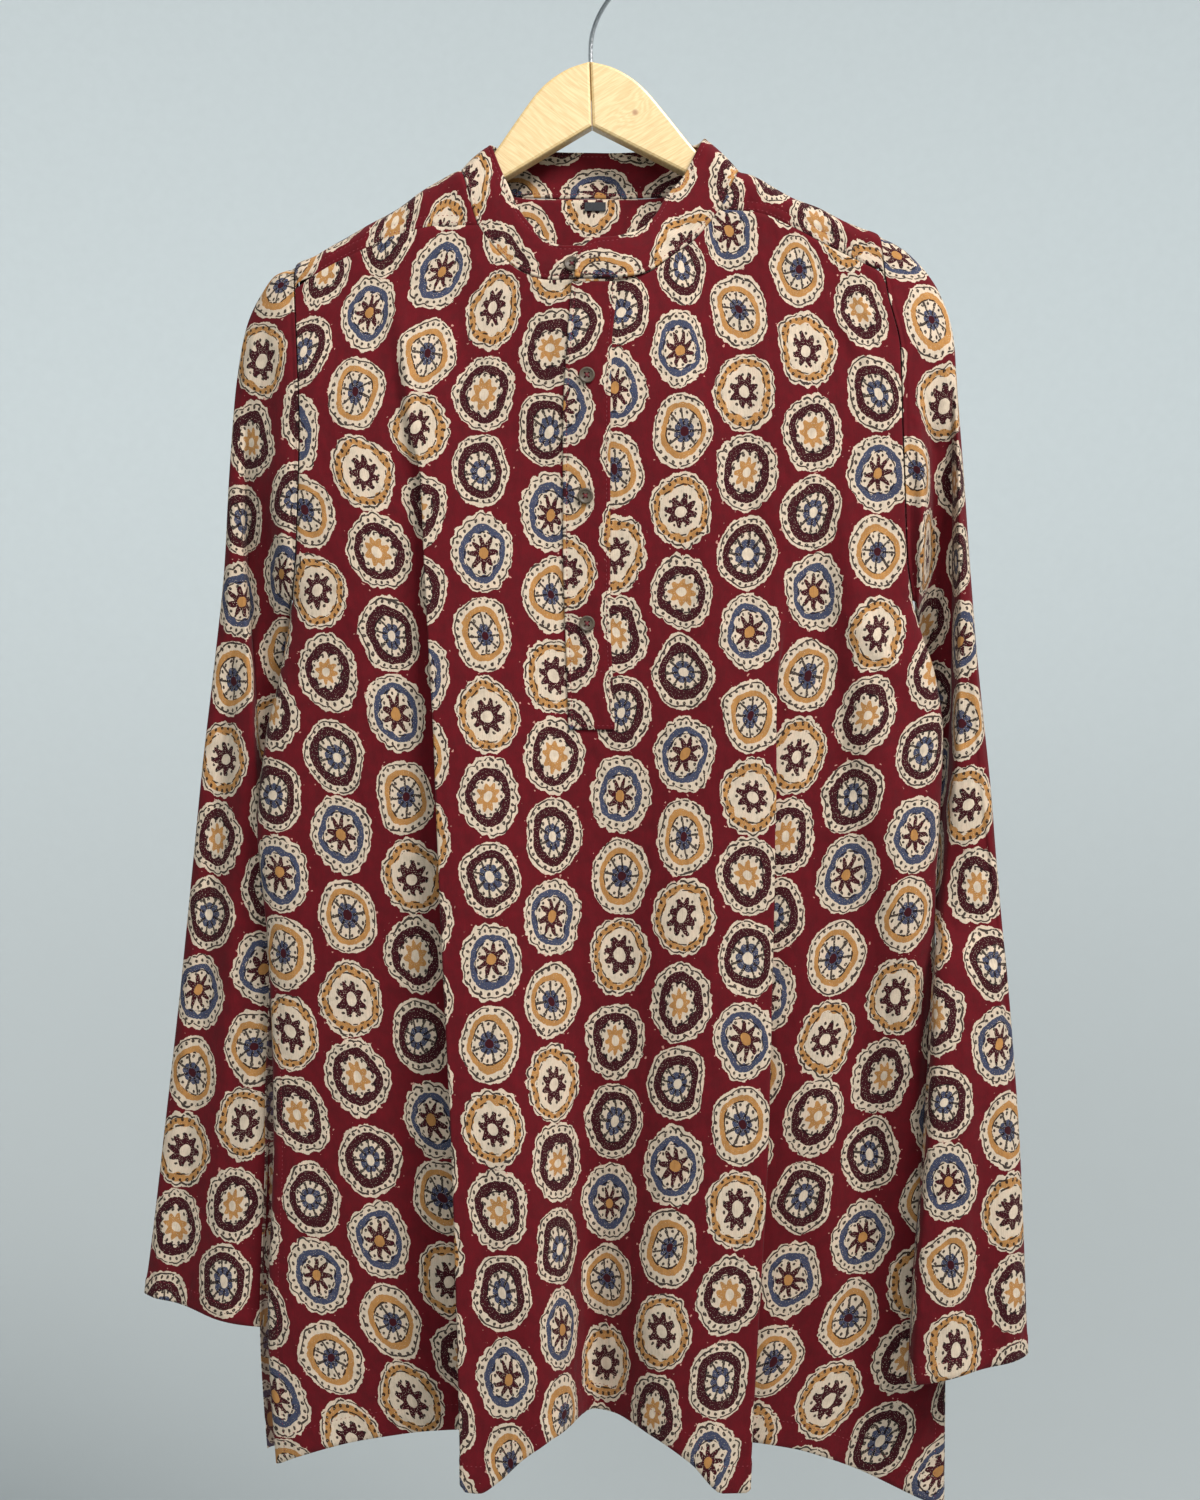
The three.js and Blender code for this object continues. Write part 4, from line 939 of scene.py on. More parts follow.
def wood_material(name, lean_angle, knot=None):
    """Clear-lacquered pale wood: slanting growth rings, fine pores, and a small knot."""
    w = Wire(name)
    place = w.vector("SCALE", w.place(), 1000.0)
    along = w.turned(place, lean_angle, "Y_AXIS")
    stretched = lambda *scale: w.vector("MULTIPLY", along, scale)
    rings = w.split(along)[2] * 0.24 + w.noise(stretched(0.05, 0.22, 0.42), 0.5, 3) * 5.0
    if knot:
        away = w.vector("MULTIPLY", w.vector("SUBTRACT", place, knot), (1, 0.15, 1))
        distance = w.value("VectorMath", (away,), "Value", operation="LENGTH")
        rings = rings + w.range(distance, 0.0, 16.0, 1.0, 0.0, "SMOOTHSTEP") * 2.6
    wave = (rings * TURN).sine()
    streak = w.noise(stretched(0.06, 0.9, 2.6), 1.0, 3, 0.6)
    pores = w.noise(stretched(0.1, 2.5, 3.2), 1.0, 2, 0.6)
    tone = w.mix(w.range(wave, -1, 1, 0.0, 0.5), srgb(224, 197, 144), srgb(202, 165, 106))
    tone = w.mix(w.range(streak, 0.45, 0.75, 0.0, 0.4), tone, srgb(180, 136, 78))
    tone = w.mix(w.range(pores, 0.6, 0.7, 0.0, 0.45), tone, srgb(168, 122, 72))
    if knot:
        core = w.range(distance, 0.6, 3.0, 0.75, 0.0, "SMOOTHSTEP")
        tone = w.mix(core, tone, srgb(140, 84, 42))
    w.fix({"Coat Weight": 0.3, "Coat Roughness": 0.25})
    rough = w.range(streak, 0.3, 0.7, 0.34, 0.5)
    return w.surface(tone, rough, pores + wave * 0.2, 0.12, 0.0004)


def steel_material():
    w = Wire("steel_wire")
    drawn = w.noise(w.place(), 700, 3, 0.6)
    tone = w.mix(drawn, (0.46, 0.46, 0.47), (0.62, 0.62, 0.63))
    w.fix({"Metallic": 1})
    return w.surface(tone, w.range(drawn, 0.3, 0.7, 0.12, 0.26), drawn, 0.15, 0.0001)


def button_material():
    w = Wire("button_horn")
    place = w.place()
    cloud = w.noise(place, 260, 3, 0.6)
    vein = w.noise(w.vector("MULTIPLY", place, (1, 1, 5)), 420, 3, 0.6)
    tone = w.mix(cloud, srgb(58, 46, 36), srgb(98, 84, 66))
    tone = w.mix(w.range(vein, 0.55, 0.7, 0, 0.5), tone, srgb(40, 30, 26))
    return w.surface(tone, w.range(cloud, 0.3, 0.7, 0.42, 0.62), vein, 0.2, 0.0002)


def label_material():
    w = Wire("label_ribbon")
    place = w.vector("SCALE", w.place(), 1000.0)
    x, _, z = w.split(place)
    weave = (x * (TURN / 0.3)).sine() * (z * (TURN / 0.3)).sine()
    tone = w.mix(w.range(weave, -1, 1), srgb(16, 16, 20), srgb(34, 34, 40))
    return w.surface(tone, w.range(w.noise(place, 3.0), 0.3, 0.7, 0.55, 0.75), weave, 0.3, 0.0001)


# ---------------------------------------------------------------- pieces and sheets
def finish(piece, material, node):
    """Gives a piece its material, hangs it under the root body, and hides the solid it stands for.
    """
    piece.data.materials.clear()
    piece.data.materials.append(material)
    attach(piece, "root")
    if node:
        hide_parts(node)


def finish_sheet(piece, material, node):
    """Finishes hung cloth, just as finish does."""
    finish(piece, material, node)


# Each material's grain line in degrees, and where the cutter started in the repeat
prints = {
    part: print_material("print_" + part, turn, start)
    for part, turn, start in (
        ("body", 0, (4.0, 6.0)),
        ("back", 180, (11.0, 25.0)),
        ("sleeve_left", 0, (4.0, 31.0)),
        ("sleeve_right", 0, (38.0, 38.0)),
        ("yoke", 90, (9.0, 18.0)),
        ("collar", 90, (20.0, 12.0)),
        ("placket", 0, (21.0, 30.0)),
    )
}


# ---------------------------------------------------------------- front and back panels
HEM = 16.0
SLIT_HEM = 8.0
SLOT_PLACES = LINE_PLACES[2:4]


def panel(point, top_z, hem_z, levels, settle, columns):
    """A panel's grid of points, and the heights they were asked for at."""
    z = row_heights(levels[:, None], top_z[None, :], hem_z[None, :], *settle)
    return point(across_x(np.broadcast_to(columns[None, :], z.shape), z), z), z


def flat_coordinates(grid, z, middle, row):
    """Running widths and lengths of a grid, and its print's coordinates: across from the
    middle column, and upwards so that they say the height in the given row."""
    u, v = lengths(grid, 1), lengths(grid, 0)
    across = u - u[:, middle : middle + 1]
    return u, v, np.stack([across, z[row][None] + v[row][None] - v], -1)


def hem_and_slits(u, v, z):
    """The profile of a panel's hem, and that of the turned edges of its side slits."""
    side = np.minimum(u, u[:, -1:] - u)
    slit = smooth((SLIT_TOP_Z - z) / 6)
    return hem_profile(v[-1:] - v, HEM, u), slit * hem_profile(side, SLIT_HEM, v)


def sew_hem_and_slits(grid, normal, u, v, levels):
    sew(grid, normal, v, -HEM, 0)
    for inset in (SLIT_HEM, -SLIT_HEM):
        sew(grid, normal, u, inset, 1, levels < SLIT_TOP_Z)


def make_front():
    columns = spaced(196, [(0.25, 0.035, 3.2), (0.752, 0.035, 3.2), (0, 0.04, 2.5), (1, 0.04, 2.5)])
    for place in SLOT_PLACES:
        columns[np.abs(columns - place).argmin()] = place
    levels = np.concatenate([np.linspace(-215, -330, 50), np.linspace(-330, -975, 196)[1:]])
    levels[np.abs(levels - SLOT_FOOT_Z).argmin()] = SLOT_FOOT_Z
    top_z = front_top_z(across_x(columns, np.full_like(columns, levels[0])))
    grid, z = panel(front_point, top_z, front_hem_z(columns), levels, (-330, -830), columns)
    slot = (columns[:-1] >= SLOT_PLACES[0] - 1e-4) & (columns[1:] <= SLOT_PLACES[1] + 1e-4)
    keep = ~((levels[:-1] > SLOT_FOOT_Z)[:, None] & slot[None, :])
    middle = np.abs(columns - np.mean(SLOT_PLACES)).argmin()
    u, v, uv = flat_coordinates(grid, z, middle, np.abs(levels + 400).argmin())
    hem, slits = hem_and_slits(u, v, z)
    profile = np.maximum(hem, slits) + np.minimum(0, np.minimum(hem, slits))
    piece, grid, normal = cloth("front_cloth", grid, uv, profile, keep)
    sew_hem_and_slits(grid, normal, u, v, levels)
    finish_sheet(piece, prints["body"], "front")


def make_back():
    columns = spaced(150, [(0, 0.04, 2.5), (1, 0.04, 2.5)])
    levels = np.concatenate([np.linspace(-260, -330, 24), np.linspace(-330, -960, 176)[1:]])

    def back_point(x, z):
        s = np.broadcast_to(columns[None, :], z.shape)
        show = np.where(x < 0, SLIT_SHOW, 0.5) * smooth((SLIT_TOP_Z - z) / 120)
        moved = x + show * (smooth((s - 0.9) / 0.1) - smooth((0.1 - s) / 0.1))
        return np.stack([moved, back_depth(x, z), z], -1)

    top = back_seam_z(across_x(columns, np.full_like(columns, levels[0]))) - SEAM_GAP
    grid, z = panel(back_point, top, back_hem_z(columns), levels, (-385, -780), columns)
    u, v, uv = flat_coordinates(grid, z, len(columns) // 2, np.abs(levels + 400).argmin())
    hem, slits = hem_and_slits(u, v, z)
    profile = hem + slits * smooth((v[-1:] - v - HEM - 1) / 3)
    piece, grid, normal = cloth("back_cloth", grid, uv, -profile, wrong=OUTER)
    sew_hem_and_slits(grid, -normal, u, v, levels)
    finish_sheet(piece, prints["back"], "back")


# ---------------------------------------------------------------- yoke
# A rib's stations: up the front from the seam, over the ridge, and down the back
RISE = 1 - np.linspace(0, 1, 26) ** 0.7
CAP = np.concatenate([np.linspace(0.02, 0.2, 6), np.linspace(0.2, 1, 9)[1:]])
FALL = np.linspace(0, 1, 34)[1:]
ARM_SHARE = 0.12  # of the way to the neck, where the ribs still follow the body's side
# Rows of stitches, from the yoke's edges
YOKE_ROWS = (1.6, 6.4)


def yoke_rib(side, a, rise=RISE, cap=CAP, fall=FALL):
    """The yoke's line over the shoulder, at a share a of the way from armhole to neck."""
    arm_seam, arm_ridge, neck_ridge, back_end, corner = YOKE_ENDS[side]
    seam_x = mix(arm_seam, corner, a)
    top = float(front_top_z(seam_x))
    seam_x, seam_y, _ = front_point(seam_x, top)
    ridge_x = mix(arm_ridge, neck_ridge, a)
    ridge = float(ridge_z(ridge_x))
    cap_x = mix(arm_ridge, back_end, a)
    cap_z = mix(ridge - YOKE_CAP, float(back_neck_z(back_end)), a**3)
    foot_x = mix(float(lines[side](-260)), back_end, a)
    foot_z = float(back_seam_z(foot_x))

    def over_ridge(x, y, z, share):
        z = mix(ridge, z, share)
        return np.stack([mix(ridge_x, x, share), y * rounded((ridge - z) / SHOULDER_ROUND), z], -1)

    front = over_ridge(seam_x, seam_y, top + SEAM_GAP, rise)
    middle = over_ridge(cap_x, back_depth(cap_x, cap_z, False), cap_z, cap)
    x, z = mix(cap_x, foot_x, fall), mix(cap_z, foot_z, fall)
    rib = np.concatenate([front, middle, np.stack([x, back_depth(x, z), z], -1)])
    near = float(smooth(1 - a / ARM_SHARE))
    rib[:, 0] = mix(rib[:, 0], lines[side](rib[:, 2]), near)
    return rib


def make_yoke():
    arms = np.concatenate([np.linspace(0, ARM_SHARE, 10), np.linspace(ARM_SHARE, 1, 44)[1:]])
    middle = np.linspace(0, 1, 54)[1:-1]
    ribs = [yoke_rib("left", a) for a in arms]
    lead = len(RISE) + len(CAP)
    for t in middle:
        x = mix(YOKE_ENDS["left"][3], YOKE_ENDS["right"][3], t)
        z = mix(float(back_neck_z(x)), float(back_seam_z(x)), np.concatenate(([0], FALL)))
        line = np.stack([np.full_like(z, x), back_depth(x, z), z], -1)
        ribs.append(np.concatenate([np.repeat(line[:1], lead - 1, 0), line]))
    ribs += [yoke_rib("right", a) for a in arms[::-1]]
    grid = np.stack(ribs, 1)
    neck = slice(len(arms) - 1, len(arms) + len(middle) + 1)
    keep = whole(grid)
    keep[: lead - 1, neck.start : neck.stop - 1] = False
    run = lengths(grid, 0)
    to_back = run[-1:] - run
    to_front = to_back[:1] - to_back
    u = np.broadcast_to(lengths(grid[-1:], 1), run.shape)
    uv = np.stack([u - u[:, u.shape[1] // 2][:, None], to_back], -1)
    dip = bump((to_back - YOKE_ROWS[0]) / 1.2)
    for row in YOKE_ROWS:
        dip = dip + bump((to_front - row) / 1.2)
    wide = np.ones_like(run)
    wide[:, neck] = to_back[:, neck] < 60
    soft = 0.5 * waves(uv[..., 0], to_back, 21, 60) * smooth(to_back / 20) * smooth(to_front / 20)
    profile = (0.35 * dip - soft) * wide
    piece, grid, normal = cloth("yoke_cloth", grid, uv, profile, keep, wrong=OUTER)
    for inset in YOKE_ROWS:
        sew(grid, -normal, run, -inset, 0)
        for part in (slice(0, neck.start), slice(neck.stop, None)):
            sew(grid[:, part], -normal[:, part], to_front[:, part], inset, 0)
    finish_sheet(piece, prints["yoke"], "yoke")


LINING_ENDS = (-56, 68)


def make_lining():
    x = np.linspace(*LINING_ENDS, 62)[None]
    z = mix(back_neck_z(x) - 1, back_seam_z(x) + 1, np.linspace(0, 1, 44)[:, None])
    y = back_depth(x, z) - (TURNED_GAP + SEAM_GAP)
    grid = np.stack([np.broadcast_to(x, z.shape), y, z], -1)
    piece, _, _ = cloth("yoke_lining_cloth", grid, grid[..., ::2])
    finish_sheet(piece, prints["placket"], "yoke_lining")


# ---------------------------------------------------------------- collar
BAND = 1.7
BUTTONHOLE = (3.3, -209.0)
# The collar's rows of stitches: how far from its top, its seam and its two ends, and the axis
COLLAR_ROWS = ((2.2, 0), (-2.0, 0), (2.4, 1), (-2.4, 1))


def collar_pairs():
    """The collar's ribs from its top edge to just over the seam it stands on."""
    stations = np.array([1, 0.62, 0.32, 0.1, 0]), np.array([0.12, 0.45, 1]), np.arange(1, 4) / 3
    edges = {side: yoke_rib(side, 1.0, *stations) for side in ("left", "right")}
    pairs = []
    for on, at, step, *top in COLLAR_RIBS:
        if on == "front":
            seam = front_point(float(at), float(front_top_z(at)), step)
        elif on == "back":
            neck = float(back_neck_z(at))
            seam = np.array([at, float(back_depth(at, neck, False)), neck])
        else:
            seam = edges[on][at]
        pairs.append((top, mix(seam, np.array(top), TURNED_GAP / np.linalg.norm(seam - top))))
    return np.array(pairs, float)


def spline(points, count):
    """Centripetal Catmull-Rom through rows of points, sampled evenly along its knots."""
    ends = np.concatenate([[2 * points[0] - points[1]], points, [2 * points[-1] - points[-2]]])
    flat = ends.reshape(len(ends), -1)
    gaps = np.sqrt(np.linalg.norm(np.diff(flat, axis=0), axis=1))
    knots = np.concatenate(([0], np.cumsum(gaps)))
    at = np.linspace(knots[1], knots[-2], count)
    i = np.clip(np.searchsorted(knots, at, side="right") - 1, 1, len(knots) - 3)
    t = [knots[i + k][:, None] for k in (-1, 0, 1, 2)]
    at = at[:, None]

    def between(k, span, low, high):
        return ((t[k + span] - at) * low + (at - t[k]) * high) / (t[k + span] - t[k])

    p = [flat[i + k] for k in (-1, 0, 1, 2)]
    a = [between(k, 1, p[k], p[k + 1]) for k in range(3)]
    b = [between(k, 2, a[k], a[k + 1]) for k in range(2)]
    return between(1, 1, *b).reshape((count,) + points.shape[1:])


def make_collar():
    pairs = spline(collar_pairs(), 300)
    heights = np.linspace(0, 1, 26)
    grid = mix(pairs[None, :, 0], pairs[None, :, 1], heights[:, None, None])
    keep = whole(grid)
    off = np.abs(grid[..., 0] - BUTTONHOLE[0]) + np.abs(grid[..., 2] - BUTTONHOLE[1])
    aim = off + 0.2 * grid[..., 1]
    row, column = np.unravel_index(aim.argmin(), aim.shape)
    keep[row : row + 2, column - 2 : column + 3] = False
    u = np.broadcast_to(lengths(grid[13:14], 1), grid.shape[:2])
    v = lengths(grid, 0)
    ends = np.minimum(u, u[:, -1:] - u)
    belly = 0.9 * np.sin(np.pi * heights)[:, None] * smooth(ends / 12)
    profile = 0.35 * row_dips(u, v, COLLAR_ROWS, 1.3) - belly - 0.35 * waves(u, v, 5, 46)
    uv = np.stack([u, v[-1:] - v], -1)
    piece, grid, normal = cloth("collar_cloth", grid, uv, profile, keep, BAND, wrong=None)
    lift = BAND / 2 - 0.1
    sew_rows(grid, normal, u, v, COLLAR_ROWS, faces=(-1, 1), lift=lift)
    path = slice(column - 3, column + 5)
    for edge, outward in ((row, -1), (row + 2, 1)):
        for shift in (0.0, 0.4, 0.8):
            for face in (-1, 1):
                sewn = grid[edge, path] - (0, 0, outward * shift)
                stitches(sewn, face * normal[edge, path], lift, buttonhole_thread)
    finish_sheet(piece, prints["collar"], "collar")


# ---------------------------------------------------------------- sleeves
# Troughs round each sleeve: degrees from its outer point, half widths on either side,
# depth, and the rings it runs between.
SLEEVE_TROUGHS = {
    "left": ((62, 30, 44, 4.0, 0, 16), (250, 40, 40, 4.0, 0, 16), (105, 16, 20, 2.0, 3, 12)),
    "right": ((80, 34, 34, 3.0, 9, 20), (270, 40, 40, 4.0, 0, 20), (35, 16, 18, 1.6, 4, 14)),
}
# The front layer of each sleeve laps over the rest along a line, and the cloth beside it,
# towards the body, lies deeper: x of the line, how far the lap overhangs, depth beside it
SLEEVE_LAPS = {
    "left": (
        ("z", "x", "over", "deep"),
        (-300, -226, 0, 0), (-345, -228.5, 1, 3), (-405, -228, 2, 8), (-490, -223.6, 3, 11),
        (-555, -219, 3, 11), (-600, -215, 2, 9), (-660, -210, 0, 0),
    ),
    "right": (
        ("z", "x", "over", "deep"),
        (-262, 235, 0, 0), (-300, 237, 2, 4), (-330, 238.5, 3, 11), (-400, 241, 5, 17),
        (-450, 241.5, 5, 20), (-500, 240.5, 5, 20), (-555, 236, 4, 17), (-590, 232, 3, 13),
        (-620, 228, 2, 7), (-660, 223, 0, 0),
    ),
}
LAP_STEP = 4.0
LAP_RISE = 5.0
LAP_REACH = 30.0
LAP_FADE = 14.0
# The right sleeve swells beside the body: how far, at what place past the body's side and
# over what half width, between which heights and how softly it ends there
SWELL = 9
SWELL_PAST = 12
SWELL_HALF = 14
SWELL_ENDS = (-455, -300)
SWELL_FADE = 50
SLEEVE_HEM = 11.0
SLICE = 2.0  # between the level slices that a sleeve's print is laid by


def lap(side, grid, front):
    """Lays the cloth on the body's side of a sleeve's lap deeper, under an overhanging edge."""
    away = -1 if side == "left" else 1
    table = SLEEVE_LAPS[side]
    x, z = grid[..., 0], grid[..., 2]
    line, over, deep = (curve(table, "z", name)(z) for name in ("x", "over", "deep"))
    inwards = (line - x) * away
    share = front * (z > table[-1][0]) * (z < table[1][0])
    fade = smooth((LAP_REACH - inwards) / LAP_FADE)
    grid[..., 1] += deep * share * smooth(inwards / LAP_STEP + 0.5) * fade
    edge = smooth(inwards / 18.0 + 1) * smooth(0.5 - inwards / LAP_STEP)
    grid[..., 1] -= LAP_RISE * (deep / 20) * share * edge
    if side == "right":
        foot, top = SWELL_ENDS
        ends = smooth((z - foot) / SWELL_FADE) * smooth((top - z) / SWELL_FADE)
        beside = (x - lines["right"](z) - SWELL_PAST) / SWELL_HALF
        grid[..., 1] -= SWELL * front * bump(beside) * ends
    grid[..., 0] -= away * over * share * bump((inwards + 1.5) / 6.0)
    return grid


def sleeve_grid(side, rings, count):
    """A sleeve's tube: rings from armhole to cuff, each starting at the outer fold."""
    at = np.linspace(0, len(SLEEVES[side]) - 1, rings)
    rows = [("r", *SLEEVE_COLUMNS)] + [(i, *row) for i, row in enumerate(SLEEVES[side])]
    read = [curve(rows, "r", name)(at)[:, None] for name in SLEEVE_COLUMNS]
    angle = TURN * spaced(count + 1, [(0.17, 0.16, 1.2)])[None, :-1]
    sine, cosine = np.sin(angle), np.cos(angle)
    settled = smooth(at / ARMHOLE_FADE)[:, None]
    boxed = smooth((at - 10) / 2)[:, None]

    def tube(part, dent):
        values = [column[part] for column in read]
        outer, inner, half = np.stack(values[:3], -1), np.stack(values[3:6], -1), values[6]
        long = outer - inner
        along = unit(long)
        forward = unit(np.array([0.0, -1.0, 0.0]) + along * along[..., 1:2])
        # a lower power makes the section boxier, and the skew fuller on one side
        power, skew = 0.8, 1.0
        if side == "right":
            power = 0.8 - 0.42 * boxed[part] * smooth(-1.4 * cosine) * (sine > 0)
        else:
            skew = 1 - 0.6 * cosine * (sine > 0)
        offset = np.sign(sine) * (half * np.abs(sine) ** power) * skew
        offset = offset - dent * np.where(sine < 0, -1, 1)
        return (outer + inner) / 2 + long * (cosine[..., None] / 2) + forward * offset[..., None]

    degrees = np.degrees(angle)
    dent = np.zeros((rings, count))
    for middle, low, high, deep, first, last in SLEEVE_TROUGHS[side]:
        share = smooth((at - first) / ARMHOLE_FADE) * smooth((last - at) / 2)
        off = degrees - middle
        dent += deep * share[:, None] * bump(np.where(off < 0, off / low, off / high))
    ripple = waves(degrees * 0.6, at[:, None] * 48.0, 31 if side == "left" else 37, 60)
    free = tube(slice(None), dent + 0.9 * ripple * settled * np.abs(sine))
    z = mix(ARMHOLE_TOP[side], UNDERARM_Z, (1 - cosine) / 2)
    x = lines[side](z) + (-TURNED_GAP if side == "left" else TURNED_GAP)
    hole = np.stack([x, -np.sign(sine) * armhole_half(side, z), z], -1)
    grid = free + (hole - tube(slice(1), 0)) * (1 - settled[..., None])
    front = smooth(sine / 0.35 + 0.3) * smooth((at[:, None] - 0.5) / 2)
    return lap(side, grid, front)


def level_coordinates(grid, outer):
    """A tube's print coordinates: widths along level slices from its outer fold, and lengths
    from the cuff with the sideways part of each step taken off."""
    columns = range(grid.shape[1])
    fold = grid[0, outer] - grid[-1, outer]
    fold /= np.linalg.norm(fold)
    height = (grid - grid[-1:, outer : outer + 1]) @ fold
    rising = np.maximum.accumulate(height[::-1], 0)
    rising += 1e-6 * np.arange(len(rising))[:, None]
    levels = np.arange(0, height.max() + SLICE, SLICE)
    slices = np.empty((len(levels), len(columns), 3))
    for column in columns:
        for axis in range(3):
            points = grid[::-1, column, axis]
            slices[:, column, axis] = np.interp(levels, rising[:, column], points)
    across = lengths(slices, 1)
    across -= across[:, outer : outer + 1]
    u = np.stack([np.interp(height[:, k], levels, across[:, k]) for k in columns], 1)
    square = (np.diff(grid, axis=0) ** 2).sum(-1) - np.diff(u, axis=0) ** 2
    rise = np.sqrt(np.maximum(square, 0))
    v = np.concatenate([np.cumsum(rise[::-1], 0)[::-1], np.zeros((1, len(columns)))])
    return np.stack([u, v + height[-1]], -1)


def carry_print_on(piece, girth):
    """Lets the faces that close a tube run on in the print, past its last column."""
    layer = piece.data.uv_layers["print"].data
    values = np.zeros(len(layer) * 2, np.float32)
    layer.foreach_get("uv", values)
    across = values.reshape(-1, 4, 2)[..., 0]
    across[across < across.max(1, keepdims=True) - girth / 2] += girth
    layer.foreach_set("uv", values)


def make_sleeve(side):
    count = 150
    grid = sleeve_grid(side, 250, count)
    outer = 0
    if side == "right":
        grid, outer = grid[:, ::-1], count - 1
    # the first column is put at the underarm, where the print's seam hides
    underarm = np.linalg.norm(grid[0] - grid[0, outer], axis=-1).argmax()
    grid = np.roll(grid, -underarm, 1)
    uv = level_coordinates(grid, (outer - underarm) % count)
    round_ = lengths(np.concatenate([grid, grid[:, :1]], 1), 1)
    v = lengths(grid, 0)
    profile = hem_profile(v[-1:] - v, SLEEVE_HEM, round_[:, :-1]) - 0.5 * bump((v - 2.5) / 2.5)
    piece, grid, normal = cloth(f"sleeve_{side}_cloth", grid, uv, profile, wrap=True)
    carry_print_on(piece, float(np.median(np.ptp(uv[..., 0], 1))) * MM)
    sew(grid, normal, v, -SLEEVE_HEM, 0)
    node = "sleeve_" + side
    finish_sheet(piece, prints[node], node)


# ---------------------------------------------------------------- placket
PLACKET_OUT = 1.5
# Its rows of stitches: along the two sides, across the foot and over the foot's square
PLACKET_ROWS = ((2.0, 1), (-2.0, 1), (-2.0, 0), (-37.0, 0))


def make_placket(node, out):
    """One of the placket's two strips, before the front's slot or behind it."""
    over = out > 0
    g = np.linspace(0, 1, 26)[None]

    def across(z):
        left, right = lines["slotLeft"](z), lines["slotRight"](z)
        return mix(left - PLACKET_OVERLAP, right + PLACKET_OVERLAP, g)

    top = front_top_z(across(-224)) - PLACKET_TOP_DROP
    z = mix(top, PLACKET_FOOT_Z, np.linspace(0, 1, 190)[:, None])
    grid = front_point(across(z), z, out)
    u, v = lengths(grid, 1), lengths(grid, 0)
    foot = v[-1:] - v
    profile = 0
    if over:
        edge = np.minimum(u, u[:, -1:] - u)
        pucker = 0.22 * puckers(v, 9.5, 1.3, 27) * bump((edge - 1.0) / 6)
        profile = pucker - 0.3 * row_dips(u, v, PLACKET_ROWS, 1.2)
    uv, thickness = np.stack([u, foot], -1), 1.1 if over else 0.9
    piece, grid, normal = cloth(node + "_cloth", grid, uv, profile, thickness=thickness)
    if over:
        sew_rows(grid, normal, u, v, PLACKET_ROWS, lift=0.45)
    finish_sheet(piece, prints["placket"], node)


# ---------------------------------------------------------------- buttons
BUTTON_R = 5.1
BUTTON_HALF = 1.0
BUTTON_OUT = PLACKET_OUT + 0.6 + SEAM_GAP + BUTTON_HALF
# Radii and heights as shares of a button's own, from the middle of its back to its dish
BUTTON_OUTLINE = (
    (0, -1), (0.7, -1), (0.93, -0.62), (1, -0.1), (0.995, 0.45), (0.96, 0.82),
    (0.9, 0.98), (0.83, 1.0), (0.76, 0.92), (0.69, 0.62), (0.62, 0.42), (0, 0.38),
)
HOLE_R = 0.72
HOLE_OUT = 1.25
THREAD_R = 0.17


def make_button(node, centre, normal):
    """A dished button with four holes, sewn on by crossed threads sunk in the dish."""
    outline = [(r * BUTTON_R, h * BUTTON_HALF) for r, h in BUTTON_OUTLINE]
    piece = make_mesh(node + "_horn", *lathe(outline, 56))
    cutters = []
    for i, j in ((1, 1), (1, -1), (-1, 1), (-1, -1)):
        bpy.ops.mesh.primitive_cylinder_add(
            vertices=16, radius=HOLE_R * MM, depth=5 * MM,
            location=(i * HOLE_OUT * MM, j * HOLE_OUT * MM, 0),
        )
        cutters.append(bpy.context.active_object)
    for cutter in cutters:
        cut = piece.modifiers.new("hole", "BOOLEAN")
        cut.object = cutter
        cut.operation = "DIFFERENCE"
        cut.solver = "EXACT"
    view = bpy.context.evaluated_depsgraph_get()
    mesh = bpy.data.meshes.new_from_object(piece.evaluated_get(view))
    piece.modifiers.clear()
    piece.data = mesh
    mesh.shade_smooth()
    mesh.set_sharp_from_angle(angle=math.radians(40))
    for cutter in cutters:
        bpy.data.objects.remove(cutter)
    turn = Vector((0, 0, 1)).rotation_difference(Vector(normal)).to_matrix().to_4x4()
    place = Matrix.Translation(Vector(centre) * MM) @ turn
    mesh.transform(place)
    finish(piece, horn, node)
    strands = []
    for j in (1, -1):
        for off in (-0.22, 0.22):
            a = np.array([1.3 - off * j, j * 1.3 + off, -0.6])
            b = np.array([-1.3 - off * j, -j * 1.3 + off, -0.6])
            line = mix(a, b, np.linspace(0, 1, 9)[:, None])
            line[:, 2] += 1.25 * np.sin(np.linspace(0, np.pi, 9)) ** 0.5 + (0.14 if j < 0 else 0)
            strands.append(np.array([tuple(place @ Vector(p * MM)) for p in line]) / MM)
    finish(tubes(node + "_horn_thread", strands, THREAD_R), thread, None)


def tubes(name, paths, radius, sides=8):
    """Round tubes along paths of points, closed at both ends."""
    points, quads, caps = [], [], []
    turn = np.linspace(0, TURN, sides, endpoint=False)[None, :, None]
    for path in paths:
        along = unit(np.gradient(path, axis=0))
        guide = np.eye(3)[1 if np.abs(along[:, 1]).max() < 0.9 else 0]
        side = unit(np.cross(along, guide))[:, None]
        up = np.cross(side, along[:, None])
        ring = path[:, None] + (side * np.cos(turn) + up * np.sin(turn)) * radius
        index = sum(map(len, points)) + np.arange(len(path) * sides).reshape(-1, sides)
        a, b = index[:-1], index[1:]
        quads.append(np.stack([a, b, np.roll(b, -1, 1), np.roll(a, -1, 1)], -1).reshape(-1, 4))
        caps += [index[:1], index[-1:, ::-1]]
        points.append(ring.reshape(-1, 3))
    return make_mesh(name, np.concatenate(points), quads + caps)


def button_seat(x, z):
    return front_point(x, z, BUTTON_OUT)


def surface_normal(point, x, z, step=2.0):
    across = point(x + step, z) - point(x - step, z)
    up = point(x, z + step) - point(x, z - step)
    return unit(np.cross(across, up))


